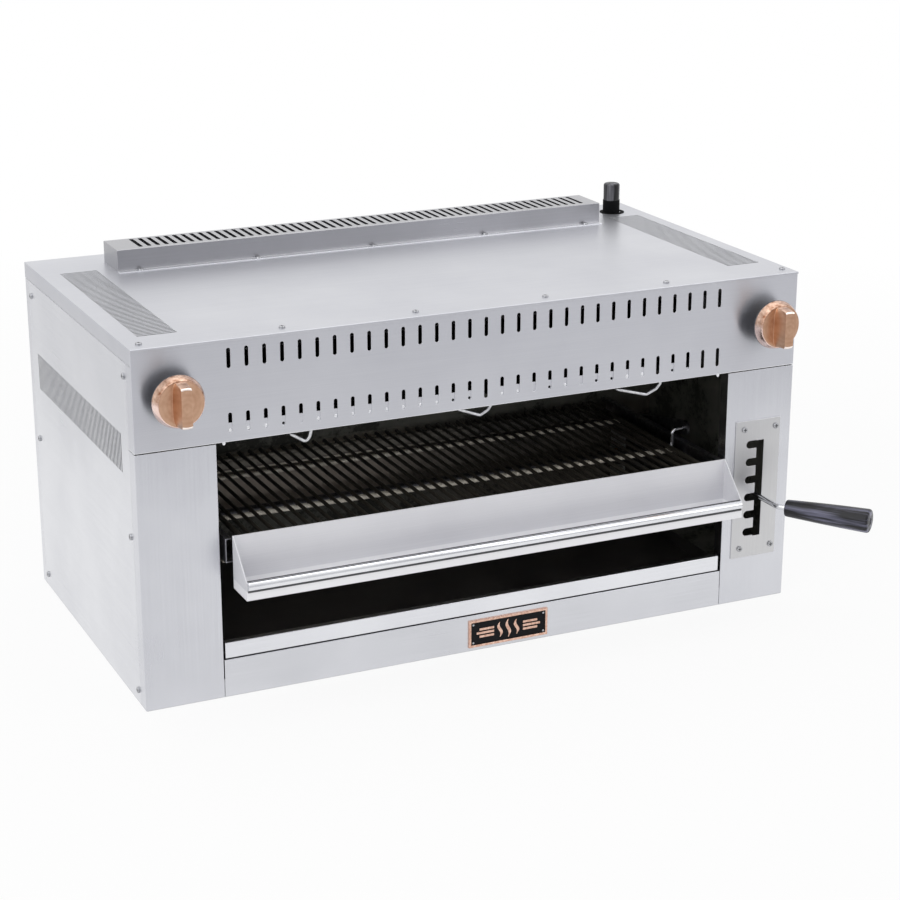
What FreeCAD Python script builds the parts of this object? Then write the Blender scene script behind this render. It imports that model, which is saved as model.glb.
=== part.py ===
import FreeCAD, Part
import math
import os

V = FreeCAD.Vector
X_AXIS = V(1, 0, 0)
Y_AXIS = V(0, 1, 0)
Z_AXIS = V(0, 0, 1)

# Gas salamander grill, in millimetres. X runs to the cook's right, the cook
# stands on the -Y side, Z is up, and the origin is the centre of the underside.

# Cabinet
WIDTH = 914.0
DEPTH = 480.0
HEIGHT = 458.0
SHEET = 1.2
PAN_SHEET = 1.5
HALF = WIDTH / 2
FRONT = -DEPTH / 2
BACK = DEPTH / 2
INNER_HALF = HALF - SHEET
INNER_FRONT = FRONT + SHEET
INNER_BACK = BACK - SHEET
TOP_UNDERSIDE = HEIGHT - SHEET
SKIN_FOOT = 1.0
EDGE_RADIUS = 1.0

# Front of the cabinet
OPENING_HALF = 356.0
OPENING_TOP = 330.5
PILLAR_TOP = 329.5
BASE_PANEL_HALF = 355.0
BASE_PANEL_TOP = 50.0
PANEL_RETURN = 14.0
RETURN_DEPTH = 22.0
INNER_RETURN = 18.0
RETURN_FOOT = 25.0

# Control panel slots
VENT_PITCH = 22.5
VENT_COUNT = 31
VENT_WIDTH = 5.0
VENT_LENGTH = 25.0
VENT_ROWS = (434.5, 354.5)
VENT_BAFFLE = (332.0, 354.0)
BAFFLE_RUNS = ((-346.0, -8.0), (8.0, 239.5), (255.5, 304.0))
BAFFLE_STEP = (284.0, 345.5)
STEM_HOLE = 7.0

# Side and top louvre bands
LOUVRE_PITCH = 6.0
LOUVRE_WIDTH = 3.0
LOUVRE_LENGTH = 50.0
SIDE_BAND = (-185.0, 195.0)
SIDE_BAND_Z = 317.0
TOP_BANDS = ((-407.0, -185.0, 152.0), (413.0, -173.0, 152.0))

# Top cover and flue riser
COVER_LIP = 3.0
COVER_FLANGE_FOOT = 437.0
SIDE_PANEL_TOP = 436.4
RISER_HALF = 360.0
RISER_FRONT = 130.0
RISER_BACK = 192.0
RISER_TOP = 487.5
RISER_FOOT = 9.0
RISER_SLOTS = 56
RISER_PITCH = 12.0
RISER_SLOT_WIDTH = 6.0
RISER_FIRST_SLOT = -324.0
RISER_SLOT_RUN = (138.0, 188.0)
FLUE_OPENING = (350.0, 137.0, 185.0)
PIPE_HOLE = 12.5

# Screws
SCREW_SHANK = 2.0
SCREW_HEAD = 4.0
SCREW_HEAD_HEIGHT = 2.2
SCREW_LENGTH = 7.0
SIDE_SCREWS = ((-210, 419), (-210, 218), (-211, 18), (212, 417), (212, 217), (211, 18))
TOP_SCREWS_X = (-440, -262, -87, 92, 268, 445)
TOP_SCREWS_Y = -220.0
RISER_SCREWS_X = (-330, -165, 5, 175, 335)

# Comb plate for the lever
COMB = (371.0, 440.0, 65.0, 260.0)
COMB_THICK = 1.5
CHANNEL = (404.0, 415.5, 94.0, 231.0)
NOTCH_END = 388.0
NOTCH_RADIUS = 5.5
NOTCH_TOP = 226.0
NOTCH_PITCH = 25.0
NOTCH_COUNT = 6
COMB_WINDOW = (380.0, 426.0, 86.0, 240.0)
COMB_SCREWS = ((384, 248), (433, 248), (384, 78), (433, 78))

# Badge
BADGE = (-23.0, 91.0, 5.5, 43.0)
BADGE_RIM = 3.2
BADGE_THICK = 2.6
BADGE_FIELD_THICK = 1.2

# Base and bearers
LEG_BOLTS = (380.0, 190.0)
LEG_BOLT_RADIUS = 5.2
LEG_NUT_FLATS = 17.0
LEG_NUT_HEIGHT = 8.0
PAN_FLANGE = 24.0
POST_LEG = 15.0
POST_FRONT = FRONT + RETURN_DEPTH + 0.5
POST_REAR = BACK - 16.0
BEARER = (338.0, 438.0)
BEARER_TOP = 51.8
FIN_HEIGHT = 10.0

# Cooking space
LINER_FRONT = -222.0
LINER_BACK = 103.0
LINER_TOP = 335.0
DECK_FRONT = -205.0
BURNER = (12.0, 338.0, -170.0, 75.0)
BURNER_FLANGE = 6.0
BURNER_WINDOW = 14.0
BURNER_TOP = 395.0
TILE_GRID = (4, 3)
TILE_THICK = 12.0
TILE_GAP = 0.4
SCREEN_CELLS = (20, 15)
SCREEN_WIRE = 1.6
SHIELD_HALF = 345.0
SHIELD_TOP = 425.0
SHIELD_RUN = (-182.0, 95.0)

# Gas line
GAS_Z = 395.5
MANIFOLD_Y = -195.0
PIPE_OUTER = 10.65
PIPE_BORE = 8.5
PIPE_BEND = 24.0
PIPE_STUB = 22.0
ELBOW_SWELL = 3.5
INLET = (412.0, 188.0)
INLET_TOP = 495.0
CAP_RADII = (12.4, 11.8)
CAP_Z = (459.0, 501.5)
CAP_GAP = 0.3
PIPE_RUN_X = 428.0
MIXER_Z = 363.0
MIXER_RADIUS = 13.0
MIXER_BORE = 11.5
MIXER_BELL = 18.0
MIXER_BELL_LENGTH = 20.0
MIXER_RUN = (-150.0, -50.0)
MIXER_BEND = 30.0
KNOB_X = (-407.5, 412.0)
VALVE_FRONT = -226.0
VALVE_BOSS = (9.0, 10.0)
VALVE_HALF = 12.0
DROP_HALF = 9.0
DROP_RUN = (-222.0, -206.0)
INJECTOR = (5.0, 20.0, 8.0)
PILOT_TUBE = 2.6
PILOT_HEAD = 6.0
PILOT_FRONT = -214.0
PILOT_BACK = -180.0
PILOT_DIPS = ((-225.5, -232.5, -251.0, 308.5), (20.0, 4.0, -27.0, 311.5), (267.0, 246.0, 204.0, 308.0))
PILOT_RISE = 12.0
PILOT_BEND = 5.0

# Knobs
KNOB_BACK = -259.0
KNOB_FACE = -273.0
KNOB_BAR_FACE = -294.0
KNOB_SKIRT = 32.5
KNOB_FACE_RADIUS = 28.5
KNOB_EDGE = 2.5
KNOB_RECESS = 8.0
KNOB_SOCKET = 20.0
STEM_END = -212.0
KNOB_BAR = (12.6, 53.0)
STEM_RADIUS = 4.0
RUNNING_GAP = 0.05

# Lift linkage
SHAFT_YZ = (70.0, 120.0)
SHAFT_RADIUS = 8.0
UPPER_PIVOT_YZ = (70.0, 180.0)
CARRIAGE_PIVOT_YZ = (-128.0, 162.0)
HANGER_EYE_YZ = (-128.0, 222.0)
ARM_X = (358.0, 362.0)
ARM_HALF_WIDTH = 10.0
BRACKET_X = (366.0, 369.0)
BRACKET_HALF = 20.0
BRACKET_TOP = 196.0
CARRIAGE_PIN = 5.0
STUD_RADIUS = 4.0
HANGER_ROD = 3.0
HANGER_EYE = 3.4
HANGER_X = 340.0
HANGER_BEND = 7.0
HANGER_TAB = 2.0

# Lever
LEVER_PIN = (409.75, 45.0, 151.5)
LEVER_ROD = 3.6
LEVER_WELD_Y = -264.0
LEVER_BEND_Y = -290.0
LEVER_BEND = 16.0
LEVER_EYE = (9.0, 6.6)
CRANK_HALF = 8.0
FORK_REACH = 14.0
GRIP_SOCKET = 60.0
LEVER_ANGLE = 38.6
GRIP_START = 12.0
GRIP_LENGTH = 115.0
GRIP_RADII = (11.5, 16.0)

# Carriage and rack
RAIL_WEB = (350.0, 351.5)
RAIL_LIP = 343.0
RAIL_SHELF = 326.0
RAIL_Z = (180.0, 211.0)
RAIL_RUN = (-247.0, 78.0)
TIE_Z = (176.5, 180.0)
TIES_Y = (-230.0, 66.0)
TIE_HALF = 6.0
DROP_PLATE_HALF = 12.0
DROP_PLATE = 3.0
SIDE_BAR = (330.0, 334.0)
SIDE_BAR_Z = (182.0, 194.5)
RACK_RUN = (-256.0, 78.0)
GRID_ROD = 2.5
GRID_WIRE = 3.5
GRID_PITCH = 15.6
GRID_HALF_COUNT = 20
GRID_Z = 203.6
GRID_RUN = (-250.0, 80.0)
GRID_SIDE = 325.0
CROSS_BARS = (-235.0, -143.0, 2.5, 70.0)
CROSS_BAR_Z = 198.0

# Drip trough
TROUGH_HALF = 345.5
TROUGH_BACK = -256.0
TROUGH_FRONT = -303.0
TROUGH_Z = (150.0, 217.5)
TROUGH_LIP = 162.0
TROUGH_CAP_FRONT = 172.0
FRONT_BAR = (5.75, -301.8, 168.0)
DRAIN_X = -338.0
DRAIN_SLOT = (297.0, 336.0, 152.5, 155.5)

# Crumb tray
TRAY_HALF = 348.0
TRAY_BACK = 92.0
TRAY_Z = (52.1, 70.0)
TRAY_LIP = (-353.5, 351.5, 72.5)


def box(x0, x1, y0, y1, z0, z1):
    """Block between two corners."""
    return Part.makeBox(x1 - x0, y1 - y0, z1 - z0, V(x0, y0, z0))


def rod(start, end, radius):
    """Round bar from one point to another."""
    a = V(*start)
    run = V(*end) - a
    return Part.makeCylinder(radius, run.Length, a, run)


def join(shapes):
    """One solid from shapes that touch or overlap."""
    return shapes[0].fuse(shapes[1:]).removeSplitter()


def mirrored(shape):
    """The same piece for the other side of the cabinet."""
    return shape.mirror(V(0, 0, 0), X_AXIS)


def on_plane(plane, a, b, level):
    """Point (a, b) of a plane at a level along the plane's normal."""
    if plane == "XY":
        return V(a, b, level)
    if plane == "XZ":
        return V(a, level, b)
    return V(level, a, b)


def normal(plane):
    """Normal of a named plane."""
    return {"XY": Z_AXIS, "XZ": Y_AXIS, "YZ": X_AXIS}[plane]


def polygon(plane, level, points):
    """Closed outline through points of a plane."""
    corners = [on_plane(plane, a, b, level) for a, b in points]
    return Part.makePolygon(corners + corners[:1])


def rectangle(plane, level, a0, a1, b0, b1):
    """Rectangular outline on a plane."""
    return polygon(plane, level, [(a0, b0), (a1, b0), (a1, b1), (a0, b1)])


def circle(plane, level, a, b, radius):
    """Circular outline on a plane."""
    ring = Part.Circle(on_plane(plane, a, b, level), normal(plane), radius)
    return Part.Wire([ring.toShape()])


def slot(plane, level, a, b, width, length, upright):
    """Slot with round ends, centred at (a, b), running along b when upright."""
    r = width / 2
    h = length / 2 - r
    path = [(-r, -h), (0, -h - r), (r, -h), (r, h), (0, h + r), (-r, h)]
    if not upright:
        path = [(q, p) for p, q in path]
    p = [on_plane(plane, a + s, b + t, level) for s, t in path]
    lower = Part.Arc(p[0], p[1], p[2]).toShape()
    side = Part.LineSegment(p[2], p[3]).toShape()
    upper = Part.Arc(p[3], p[4], p[5]).toShape()
    back = Part.LineSegment(p[5], p[0]).toShape()
    return Part.Wire([lower, side, upper, back])


def plate(plane, level, thick, outline, holes=()):
    """Flat plate with holes, from outlines that lie at the given level."""
    face = Part.makeFace([outline] + list(holes), "Part::FaceMakerBullseye")
    return face.extrude(normal(plane) * thick)


def soften(solid, radius, points):
    """Round the straight edges that pass through the given points."""
    chosen = []
    for edge in solid.Edges:
        for point in points:
            probe = Part.Vertex(V(*point))
            if edge.distToShape(probe)[0] < 0.01 and edge.Length > 2:
                chosen.append(edge)
                break
    return solid.makeFillet(radius, chosen)


def bent_path(points, bend):
    """Path of straight runs with a round bend at every inner point."""
    p = [V(*point) for point in points]
    edges = []
    start = p[0]
    for i in range(1, len(p) - 1):
        back = (p[i - 1] - p[i]).normalize()
        ahead = (p[i + 1] - p[i]).normalize()
        half = back.getAngle(ahead) / 2
        reach = bend / math.tan(half)
        middle = (back + ahead).normalize() * (bend / math.sin(half) - bend)
        enter = p[i] + back * reach
        leave = p[i] + ahead * reach
        edges.append(Part.LineSegment(start, enter).toShape())
        edges.append(Part.Arc(enter, p[i] + middle, leave).toShape())
        start = leave
    edges.append(Part.LineSegment(start, p[-1]).toShape())
    return Part.Wire(edges)


def bent_rod(points, bend, radius):
    """Round bar along a bent path."""
    path = bent_path(points, bend)
    heading = V(*points[1]) - V(*points[0])
    ring = Part.Wire([Part.Circle(V(*points[0]), heading, radius).toShape()])
    return path.makePipeShell([ring], True, False)


def screw(head_at, outward):
    """Pan head screw whose head stands on a sheet and whose shank goes in."""
    seat = V(*head_at)
    out = V(*outward)
    head = Part.makeCylinder(SCREW_HEAD, SCREW_HEAD_HEIGHT, seat, out)
    rim = [e for e in head.Edges if e.distToShape(Part.Vertex(seat))[0] > SCREW_HEAD + 0.2]
    head = head.makeFillet(1.0, rim)
    shank = Part.makeCylinder(SCREW_SHANK, SCREW_LENGTH, seat, out * -1)
    recess = Part.makeBox(5.0, 1.0, 1.0, V(-2.5, -0.5, -0.5))
    recess = recess.fuse(Part.makeBox(1.0, 5.0, 1.0, V(-0.5, -2.5, -0.5)))
    recess.Placement = FreeCAD.Placement(seat + out * SCREW_HEAD_HEIGHT, FreeCAD.Rotation(Z_AXIS, out))
    return head.fuse(shank).removeSplitter().cut(recess)


def annulus(axis_start, axis_end, outer, inner):
    """Round ring or tube between two points of its axis."""
    return rod(axis_start, axis_end, outer).cut(rod(axis_start, axis_end, inner))


def base_pan():
    """Floor of the cabinet with four leg bolt holes and an upturned edge."""
    holes = []
    for sx in (-1, 1):
        for sy in (-1, 1):
            holes.append(circle("XY", 0, sx * LEG_BOLTS[0], sy * LEG_BOLTS[1], LEG_BOLT_RADIUS))
    outline = rectangle("XY", 0, -INNER_HALF, INNER_HALF, INNER_FRONT, INNER_BACK)
    floor = plate("XY", 0, PAN_SHEET, outline, holes)
    rim = rectangle("XY", PAN_SHEET, -INNER_HALF, INNER_HALF, INNER_FRONT, INNER_BACK)
    inside = rectangle("XY", PAN_SHEET, -INNER_HALF + PAN_SHEET, INNER_HALF - PAN_SHEET,
                       INNER_FRONT + PAN_SHEET, INNER_BACK - PAN_SHEET)
    upturn = plate("XY", PAN_SHEET, PAN_FLANGE - PAN_SHEET, rim, [inside])
    screw_holes = []
    for y, z in SIDE_SCREWS:
        if z < PAN_FLANGE:
            screw_holes.append(rod((-HALF, y, z), (HALF, y, z), SCREW_SHANK))
    return join([floor, upturn]).cut(screw_holes)


def leg_nuts():
    """Four weld nuts over the leg bolt holes."""
    nuts = []
    corner = LEG_NUT_FLATS / math.sqrt(3)
    for sx in (-1, 1):
        for sy in (-1, 1):
            x = sx * LEG_BOLTS[0]
            y = sy * LEG_BOLTS[1]
            hexagon = []
            for i in range(6):
                angle = math.radians(60 * i)
                hexagon.append((x + corner * math.cos(angle), y + corner * math.sin(angle)))
            outline = polygon("XY", PAN_SHEET, hexagon)
            hole = circle("XY", PAN_SHEET, x, y, LEG_BOLT_RADIUS)
            nuts.append(plate("XY", PAN_SHEET, LEG_NUT_HEIGHT, outline, [hole]))
    return Part.makeCompound(nuts)


def base_front_panel():
    """Low front panel under the crumb tray, with a folded top edge."""
    face = box(-BASE_PANEL_HALF, BASE_PANEL_HALF, FRONT, INNER_FRONT, SKIN_FOOT, BASE_PANEL_TOP)
    fold = box(-BASE_PANEL_HALF, BASE_PANEL_HALF, FRONT, FRONT + PANEL_RETURN,
               BASE_PANEL_TOP - SHEET, BASE_PANEL_TOP)
    return soften(join([face, fold]), EDGE_RADIUS, [(0, FRONT, BASE_PANEL_TOP)])


def right_pillar():
    """Front pillar beside the opening, cut out behind the comb plate."""
    outline = rectangle("XZ", FRONT, OPENING_HALF, HALF, SKIN_FOOT, PILLAR_TOP)
    window = rectangle("XZ", FRONT, *COMB_WINDOW)
    holes = [circle("XZ", FRONT, x, z, SCREW_SHANK) for x, z in COMB_SCREWS]
    face = plate("XZ", FRONT, SHEET, outline, [window] + holes)
    return pillar_folds(face)


def left_pillar():
    """Plain front pillar on the other side of the opening."""
    outline = rectangle("XZ", FRONT, OPENING_HALF, HALF, SKIN_FOOT, PILLAR_TOP)
    return mirrored(pillar_folds(plate("XZ", FRONT, SHEET, outline)))


def pillar_folds(face):
    """Fold both long edges of a pillar face back."""
    inner = box(OPENING_HALF, OPENING_HALF + SHEET, FRONT, FRONT + INNER_RETURN, RETURN_FOOT, PILLAR_TOP)
    outer = box(INNER_HALF, HALF, FRONT, FRONT + RETURN_DEPTH, SKIN_FOOT, PILLAR_TOP)
    folded = join([face, inner, outer])
    height = (RETURN_FOOT + PILLAR_TOP) / 2
    return soften(folded, EDGE_RADIUS, [(OPENING_HALF, FRONT, height), (HALF, FRONT, height)])


def vent_baffles():
    """Strips welded behind the lower vent slots, which close their lower halves."""
    foot, top = VENT_BAFFLE
    step_x, step_top = BAFFLE_STEP
    strips = []
    for x0, x1 in BAFFLE_RUNS:
        outline = [(x0, foot), (x1, foot), (x1, top), (x0, top)]
        if x0 < step_x < x1:
            outline = [(x0, foot), (x1, foot), (x1, step_top), (step_x, step_top), (step_x, top), (x0, top)]
        strips.append(plate("XZ", INNER_FRONT, SHEET, polygon("XZ", INNER_FRONT, outline)))
    return strips


def control_panel():
    """Upper front panel with two rows of vent slots and two stem holes."""
    outline = rectangle("XZ", FRONT, -HALF, HALF, OPENING_TOP, TOP_UNDERSIDE)
    holes = []
    first = -(VENT_COUNT - 1) / 2 * VENT_PITCH
    for row in VENT_ROWS:
        for i in range(VENT_COUNT):
            holes.append(slot("XZ", FRONT, first + i * VENT_PITCH, row, VENT_WIDTH, VENT_LENGTH, True))
    for x in KNOB_X:
        holes.append(circle("XZ", FRONT, x, GAS_Z, STEM_HOLE))
    face = plate("XZ", FRONT, SHEET, outline, holes)
    bottom = box(-HALF, HALF, FRONT, FRONT + PANEL_RETURN, OPENING_TOP, OPENING_TOP + SHEET)
    left = box(-HALF, -INNER_HALF, FRONT, FRONT + RETURN_DEPTH, OPENING_TOP, SIDE_PANEL_TOP)
    right = mirrored(left)
    panel = join([face, bottom, left, right] + vent_baffles())
    middle = (OPENING_TOP + SIDE_PANEL_TOP) / 2
    edges = [(-HALF, FRONT, middle), (HALF, FRONT, middle), (0, FRONT, OPENING_TOP)]
    return soften(panel, EDGE_RADIUS, edges)


def right_side_panel():
    """Side panel with its band of upright slots and screw holes."""
    outline = rectangle("YZ", INNER_HALF, FRONT + RETURN_DEPTH + 0.5, BACK - 15.5, SKIN_FOOT, SIDE_PANEL_TOP)
    holes = [circle("YZ", INNER_HALF, y, z, SCREW_SHANK) for y, z in SIDE_SCREWS]
    count = int((SIDE_BAND[1] - SIDE_BAND[0]) / LOUVRE_PITCH) + 1
    for i in range(count):
        y = SIDE_BAND[0] + i * LOUVRE_PITCH
        holes.append(slot("YZ", INNER_HALF, y, SIDE_BAND_Z, LOUVRE_WIDTH, LOUVRE_LENGTH, True))
    return plate("YZ", INNER_HALF, SHEET, outline, holes)


def left_side_panel():
    """The same panel on the left."""
    return mirrored(right_side_panel())


def back_panel():
    """Rear panel that wraps a little way round both sides."""
    face = box(-HALF, HALF, INNER_BACK, BACK, SKIN_FOOT, SIDE_PANEL_TOP)
    wrap = box(INNER_HALF, HALF, BACK - 15.0, BACK, SKIN_FOOT, SIDE_PANEL_TOP)
    panel = join([face, wrap, mirrored(wrap)])
    middle = SIDE_PANEL_TOP / 2
    return soften(panel, EDGE_RADIUS, [(-HALF, BACK, middle), (HALF, BACK, middle)])


def top_cover():
    """Top cover with louvre bands, flue opening, pipe hole and flanges."""
    level = TOP_UNDERSIDE
    outline = rectangle("XY", level, -HALF, HALF, FRONT - SHEET, BACK)
    holes = [rectangle("XY", level, -FLUE_OPENING[0], FLUE_OPENING[0], FLUE_OPENING[1], FLUE_OPENING[2])]
    holes.append(circle("XY", level, INLET[0], INLET[1], PIPE_HOLE))
    for x in TOP_SCREWS_X:
        holes.append(circle("XY", level, x, TOP_SCREWS_Y, SCREW_SHANK))
    for x in RISER_SCREWS_X:
        holes.append(circle("XY", level, x, RISER_FRONT - RISER_FOOT / 2, SCREW_SHANK))
    for x, y0, y1 in TOP_BANDS:
        for i in range(int((y1 - y0) / LOUVRE_PITCH) + 1):
            holes.append(slot("XY", level, x, y0 + i * LOUVRE_PITCH, LOUVRE_WIDTH, LOUVRE_LENGTH, False))
    cover = plate("XY", level, SHEET, outline, holes)
    lip = box(-HALF, HALF, FRONT - SHEET, FRONT, HEIGHT - COVER_LIP, HEIGHT)
    side = box(INNER_HALF, HALF, INNER_FRONT, BACK, COVER_FLANGE_FOOT, TOP_UNDERSIDE)
    side = side.fuse(box(INNER_HALF, HALF, FRONT, INNER_FRONT, TOP_UNDERSIDE, HEIGHT))
    rear = box(-HALF, HALF, INNER_BACK, BACK, COVER_FLANGE_FOOT, TOP_UNDERSIDE)
    folded = join([cover, lip, side, mirrored(side), rear])
    edges = [(0, FRONT - SHEET, HEIGHT), (-HALF, 0, HEIGHT), (HALF, 0, HEIGHT), (0, BACK, HEIGHT)]
    return soften(folded, EDGE_RADIUS, edges)


def flue_riser():
    """Raised flue outlet with a slotted top and a screwed foot in front."""
    outer = box(-RISER_HALF, RISER_HALF, RISER_FRONT, RISER_BACK, HEIGHT, RISER_TOP)
    edges = [(0, RISER_FRONT, RISER_TOP), (0, RISER_BACK, RISER_TOP)]
    middle = (RISER_FRONT + RISER_BACK) / 2
    edges += [(-RISER_HALF, middle, RISER_TOP), (RISER_HALF, middle, RISER_TOP)]
    outer = soften(outer, EDGE_RADIUS, edges)
    inner = box(-RISER_HALF + SHEET, RISER_HALF - SHEET, RISER_FRONT + SHEET, RISER_BACK - SHEET,
                HEIGHT, RISER_TOP - SHEET)
    foot_outline = rectangle("XY", HEIGHT, -RISER_HALF, RISER_HALF, RISER_FRONT - RISER_FOOT, RISER_FRONT)
    foot_y = RISER_FRONT - RISER_FOOT / 2
    foot_holes = [circle("XY", HEIGHT, x, foot_y, SCREW_SHANK) for x in RISER_SCREWS_X]
    foot = plate("XY", HEIGHT, SHEET, foot_outline, foot_holes)
    slots = []
    run = RISER_SLOT_RUN[1] - RISER_SLOT_RUN[0]
    centre = sum(RISER_SLOT_RUN) / 2
    for i in range(RISER_SLOTS):
        x = RISER_FIRST_SLOT + i * RISER_PITCH
        hole = slot("XY", RISER_TOP - 2 * SHEET, x, centre, RISER_SLOT_WIDTH, run, True)
        slots.append(plate("XY", RISER_TOP, 3 * SHEET, hole))
    return outer.cut(inner).cut(slots).fuse(foot).removeSplitter()


def corner_post(y0, web_y):
    """Right-hand angle post from a near edge, with its web at one side."""
    x0 = INNER_HALF - PAN_SHEET
    y1 = y0 + POST_LEG
    web = box(INNER_HALF - POST_LEG, INNER_HALF, web_y, web_y + PAN_SHEET, PAN_FLANGE, TOP_UNDERSIDE)
    holes = []
    for y, z in SIDE_SCREWS:
        if y0 < y < y1 and z > PAN_FLANGE:
            holes.append(circle("YZ", x0, y, z, SCREW_SHANK))
    outline = rectangle("YZ", x0, y0, y1, PAN_FLANGE, TOP_UNDERSIDE)
    return join([web, plate("YZ", x0, PAN_SHEET, outline, holes)])


def corner_posts():
    """Four angle posts between the pan's edge and the top cover."""
    front = corner_post(POST_FRONT, POST_FRONT)
    rear = corner_post(POST_REAR - POST_LEG, POST_REAR - PAN_SHEET)
    return Part.makeCompound([front, rear, mirrored(front), mirrored(rear)])


def side_screws():
    """Screws through both side panels into the posts."""
    screws = []
    for side in (-1, 1):
        for y, z in SIDE_SCREWS:
            screws.append(screw((side * HALF, y, z), (side, 0, 0)))
    return Part.makeCompound(screws)


def top_screws():
    """Screws along the front edge of the top cover."""
    return Part.makeCompound([screw((x, TOP_SCREWS_Y, HEIGHT), (0, 0, 1)) for x in TOP_SCREWS_X])


def riser_screws():
    """Screws in the foot of the flue riser."""
    y = RISER_FRONT - RISER_FOOT / 2
    return Part.makeCompound([screw((x, y, HEIGHT + SHEET), (0, 0, 1)) for x in RISER_SCREWS_X])


def notch_plate():
    """Comb plate: an upright channel with six notches towards the opening."""
    level = FRONT - COMB_THICK
    x0, x1, z0, z1 = CHANNEL
    rest = NOTCH_END + NOTCH_RADIUS
    edges = []
    here = on_plane("XZ", x0, z1, level)
    for i in range(NOTCH_COUNT):
        z = NOTCH_TOP - i * NOTCH_PITCH
        corner = on_plane("XZ", x0, z + NOTCH_RADIUS, level)
        if (corner - here).Length > 0.01:
            edges.append(Part.LineSegment(here, corner).toShape())
        inner_top = on_plane("XZ", rest, z + NOTCH_RADIUS, level)
        inner_low = on_plane("XZ", rest, z - NOTCH_RADIUS, level)
        tip = on_plane("XZ", NOTCH_END, z, level)
        here = on_plane("XZ", x0, z - NOTCH_RADIUS, level)
        edges.append(Part.LineSegment(corner, inner_top).toShape())
        edges.append(Part.Arc(inner_top, tip, inner_low).toShape())
        edges.append(Part.LineSegment(inner_low, here).toShape())
    for a, b in ((x0, z0), (x1, z0), (x1, z1), (x0, z1)):
        there = on_plane("XZ", a, b, level)
        edges.append(Part.LineSegment(here, there).toShape())
        here = there
    comb = Part.Wire(edges)
    outline = rectangle("XZ", level, *COMB)
    holes = [circle("XZ", level, x, z, SCREW_SHANK) for x, z in COMB_SCREWS]
    return plate("XZ", level, COMB_THICK, outline, [comb] + holes)


def notch_plate_screws():
    """Four screws that hold the comb plate."""
    level = FRONT - COMB_THICK
    return Part.makeCompound([screw((x, level, z), (0, -1, 0)) for x, z in COMB_SCREWS])


def badge_frame():
    """Raised rim of the badge."""
    x0, x1, z0, z1 = BADGE
    level = FRONT - BADGE_THICK
    outline = rectangle("XZ", level, x0, x1, z0, z1)
    window = rectangle("XZ", level, x0 + BADGE_RIM, x1 - BADGE_RIM, z0 + BADGE_RIM, z1 - BADGE_RIM)
    return plate("XZ", level, BADGE_THICK, outline, [window])


def badge_field():
    """Plain dark field inside the badge rim."""
    x0, x1, z0, z1 = BADGE
    field = box(x0 + BADGE_RIM, x1 - BADGE_RIM, FRONT - BADGE_FIELD_THICK, FRONT, z0 + BADGE_RIM, z1 - BADGE_RIM)
    return field.cut(badge_screws())


def badge_screws():
    """Four small pins at the corners of the badge."""
    x0, x1, z0, z1 = BADGE
    inset = BADGE_RIM + 3.0
    pins = []
    for x in (x0 + inset, x1 - inset):
        for z in (z0 + inset, z1 - inset):
            pins.append(rod((x, FRONT - BADGE_FIELD_THICK - 0.8, z), (x, FRONT, z), 1.4))
    return Part.makeCompound(pins)


def side_bearers():
    """Folded bearers beside the tray, with a fin that guides it."""
    x0, x1 = BEARER
    y0 = LINER_FRONT
    y1 = LINER_BACK
    ledge = box(x0, x1, y0, y1, BEARER_TOP - SHEET, BEARER_TOP)
    inner_leg = box(x0, x0 + SHEET, y0, y1, PAN_SHEET, BEARER_TOP - SHEET)
    outer_leg = box(x1 - SHEET, x1, y0, y1, PAN_SHEET, BEARER_TOP - SHEET)
    fin_x = TRAY_HALF + 2.0
    fin = box(fin_x, fin_x + SHEET, y0, y1, BEARER_TOP, BEARER_TOP + FIN_HEIGHT)
    bearer = join([ledge, inner_leg, outer_leg, fin])
    return Part.makeCompound([bearer, mirrored(bearer)])


def liner_right():
    """Side wall of the cooking space."""
    return box(BEARER[1], BEARER[1] + SHEET, LINER_FRONT, LINER_BACK + SHEET, PAN_SHEET, LINER_TOP)


def liner_left():
    """The same wall on the left."""
    return mirrored(liner_right())


def liner_back():
    """Rear wall of the cooking space, with a flue slot near its top."""
    outline = rectangle("XZ", LINER_BACK, -BEARER[1], BEARER[1], PAN_SHEET, LINER_TOP)
    flue = slot("XZ", LINER_BACK, 0, LINER_TOP - 25.0, 24.0, 600.0, False)
    return plate("XZ", LINER_BACK, SHEET, outline, [flue])


def burner_window():
    """Sides of the right burner's window in the deck."""
    x0, x1, y0, y1 = BURNER
    return x0 + BURNER_WINDOW, x1 - BURNER_WINDOW, y0 + BURNER_WINDOW, y1 - BURNER_WINDOW


def burner_deck():
    """Deck over the cooking space with two burner windows."""
    half = BEARER[1] + SHEET
    outline = rectangle("XY", LINER_TOP, -half, half, DECK_FRONT, LINER_BACK + SHEET)
    x0, x1, y0, y1 = burner_window()
    windows = [rectangle("XY", LINER_TOP, x0, x1, y0, y1), rectangle("XY", LINER_TOP, -x1, -x0, y0, y1)]
    return plate("XY", LINER_TOP, SHEET, outline, windows)


def right_burner_box():
    """Gas chamber over the tiles, with a foot on the deck and a gas port."""
    x0, x1, y0, y1 = BURNER
    z0 = LINER_TOP + SHEET
    outline = rectangle("XY", z0, x0, x1, y0, y1)
    foot = plate("XY", z0, SHEET, outline, [rectangle("XY", z0, *burner_window())])
    f = BURNER_FLANGE
    shell = box(x0 + f, x1 - f, y0 + f, y1 - f, z0 + SHEET, BURNER_TOP)
    shell = shell.cut(box(x0 + f + SHEET, x1 - f - SHEET, y0 + f + SHEET, y1 - f - SHEET,
                          z0 + SHEET, BURNER_TOP - SHEET))
    port_y = MIXER_RUN[1]
    port = rod((x1 - f - 2 * SHEET, port_y, MIXER_Z), (x1 - f + SHEET, port_y, MIXER_Z), MIXER_BORE)
    return join([foot, shell.cut(port)])


def left_burner_box():
    """The same chamber on the left."""
    return mirrored(right_burner_box())


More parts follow.
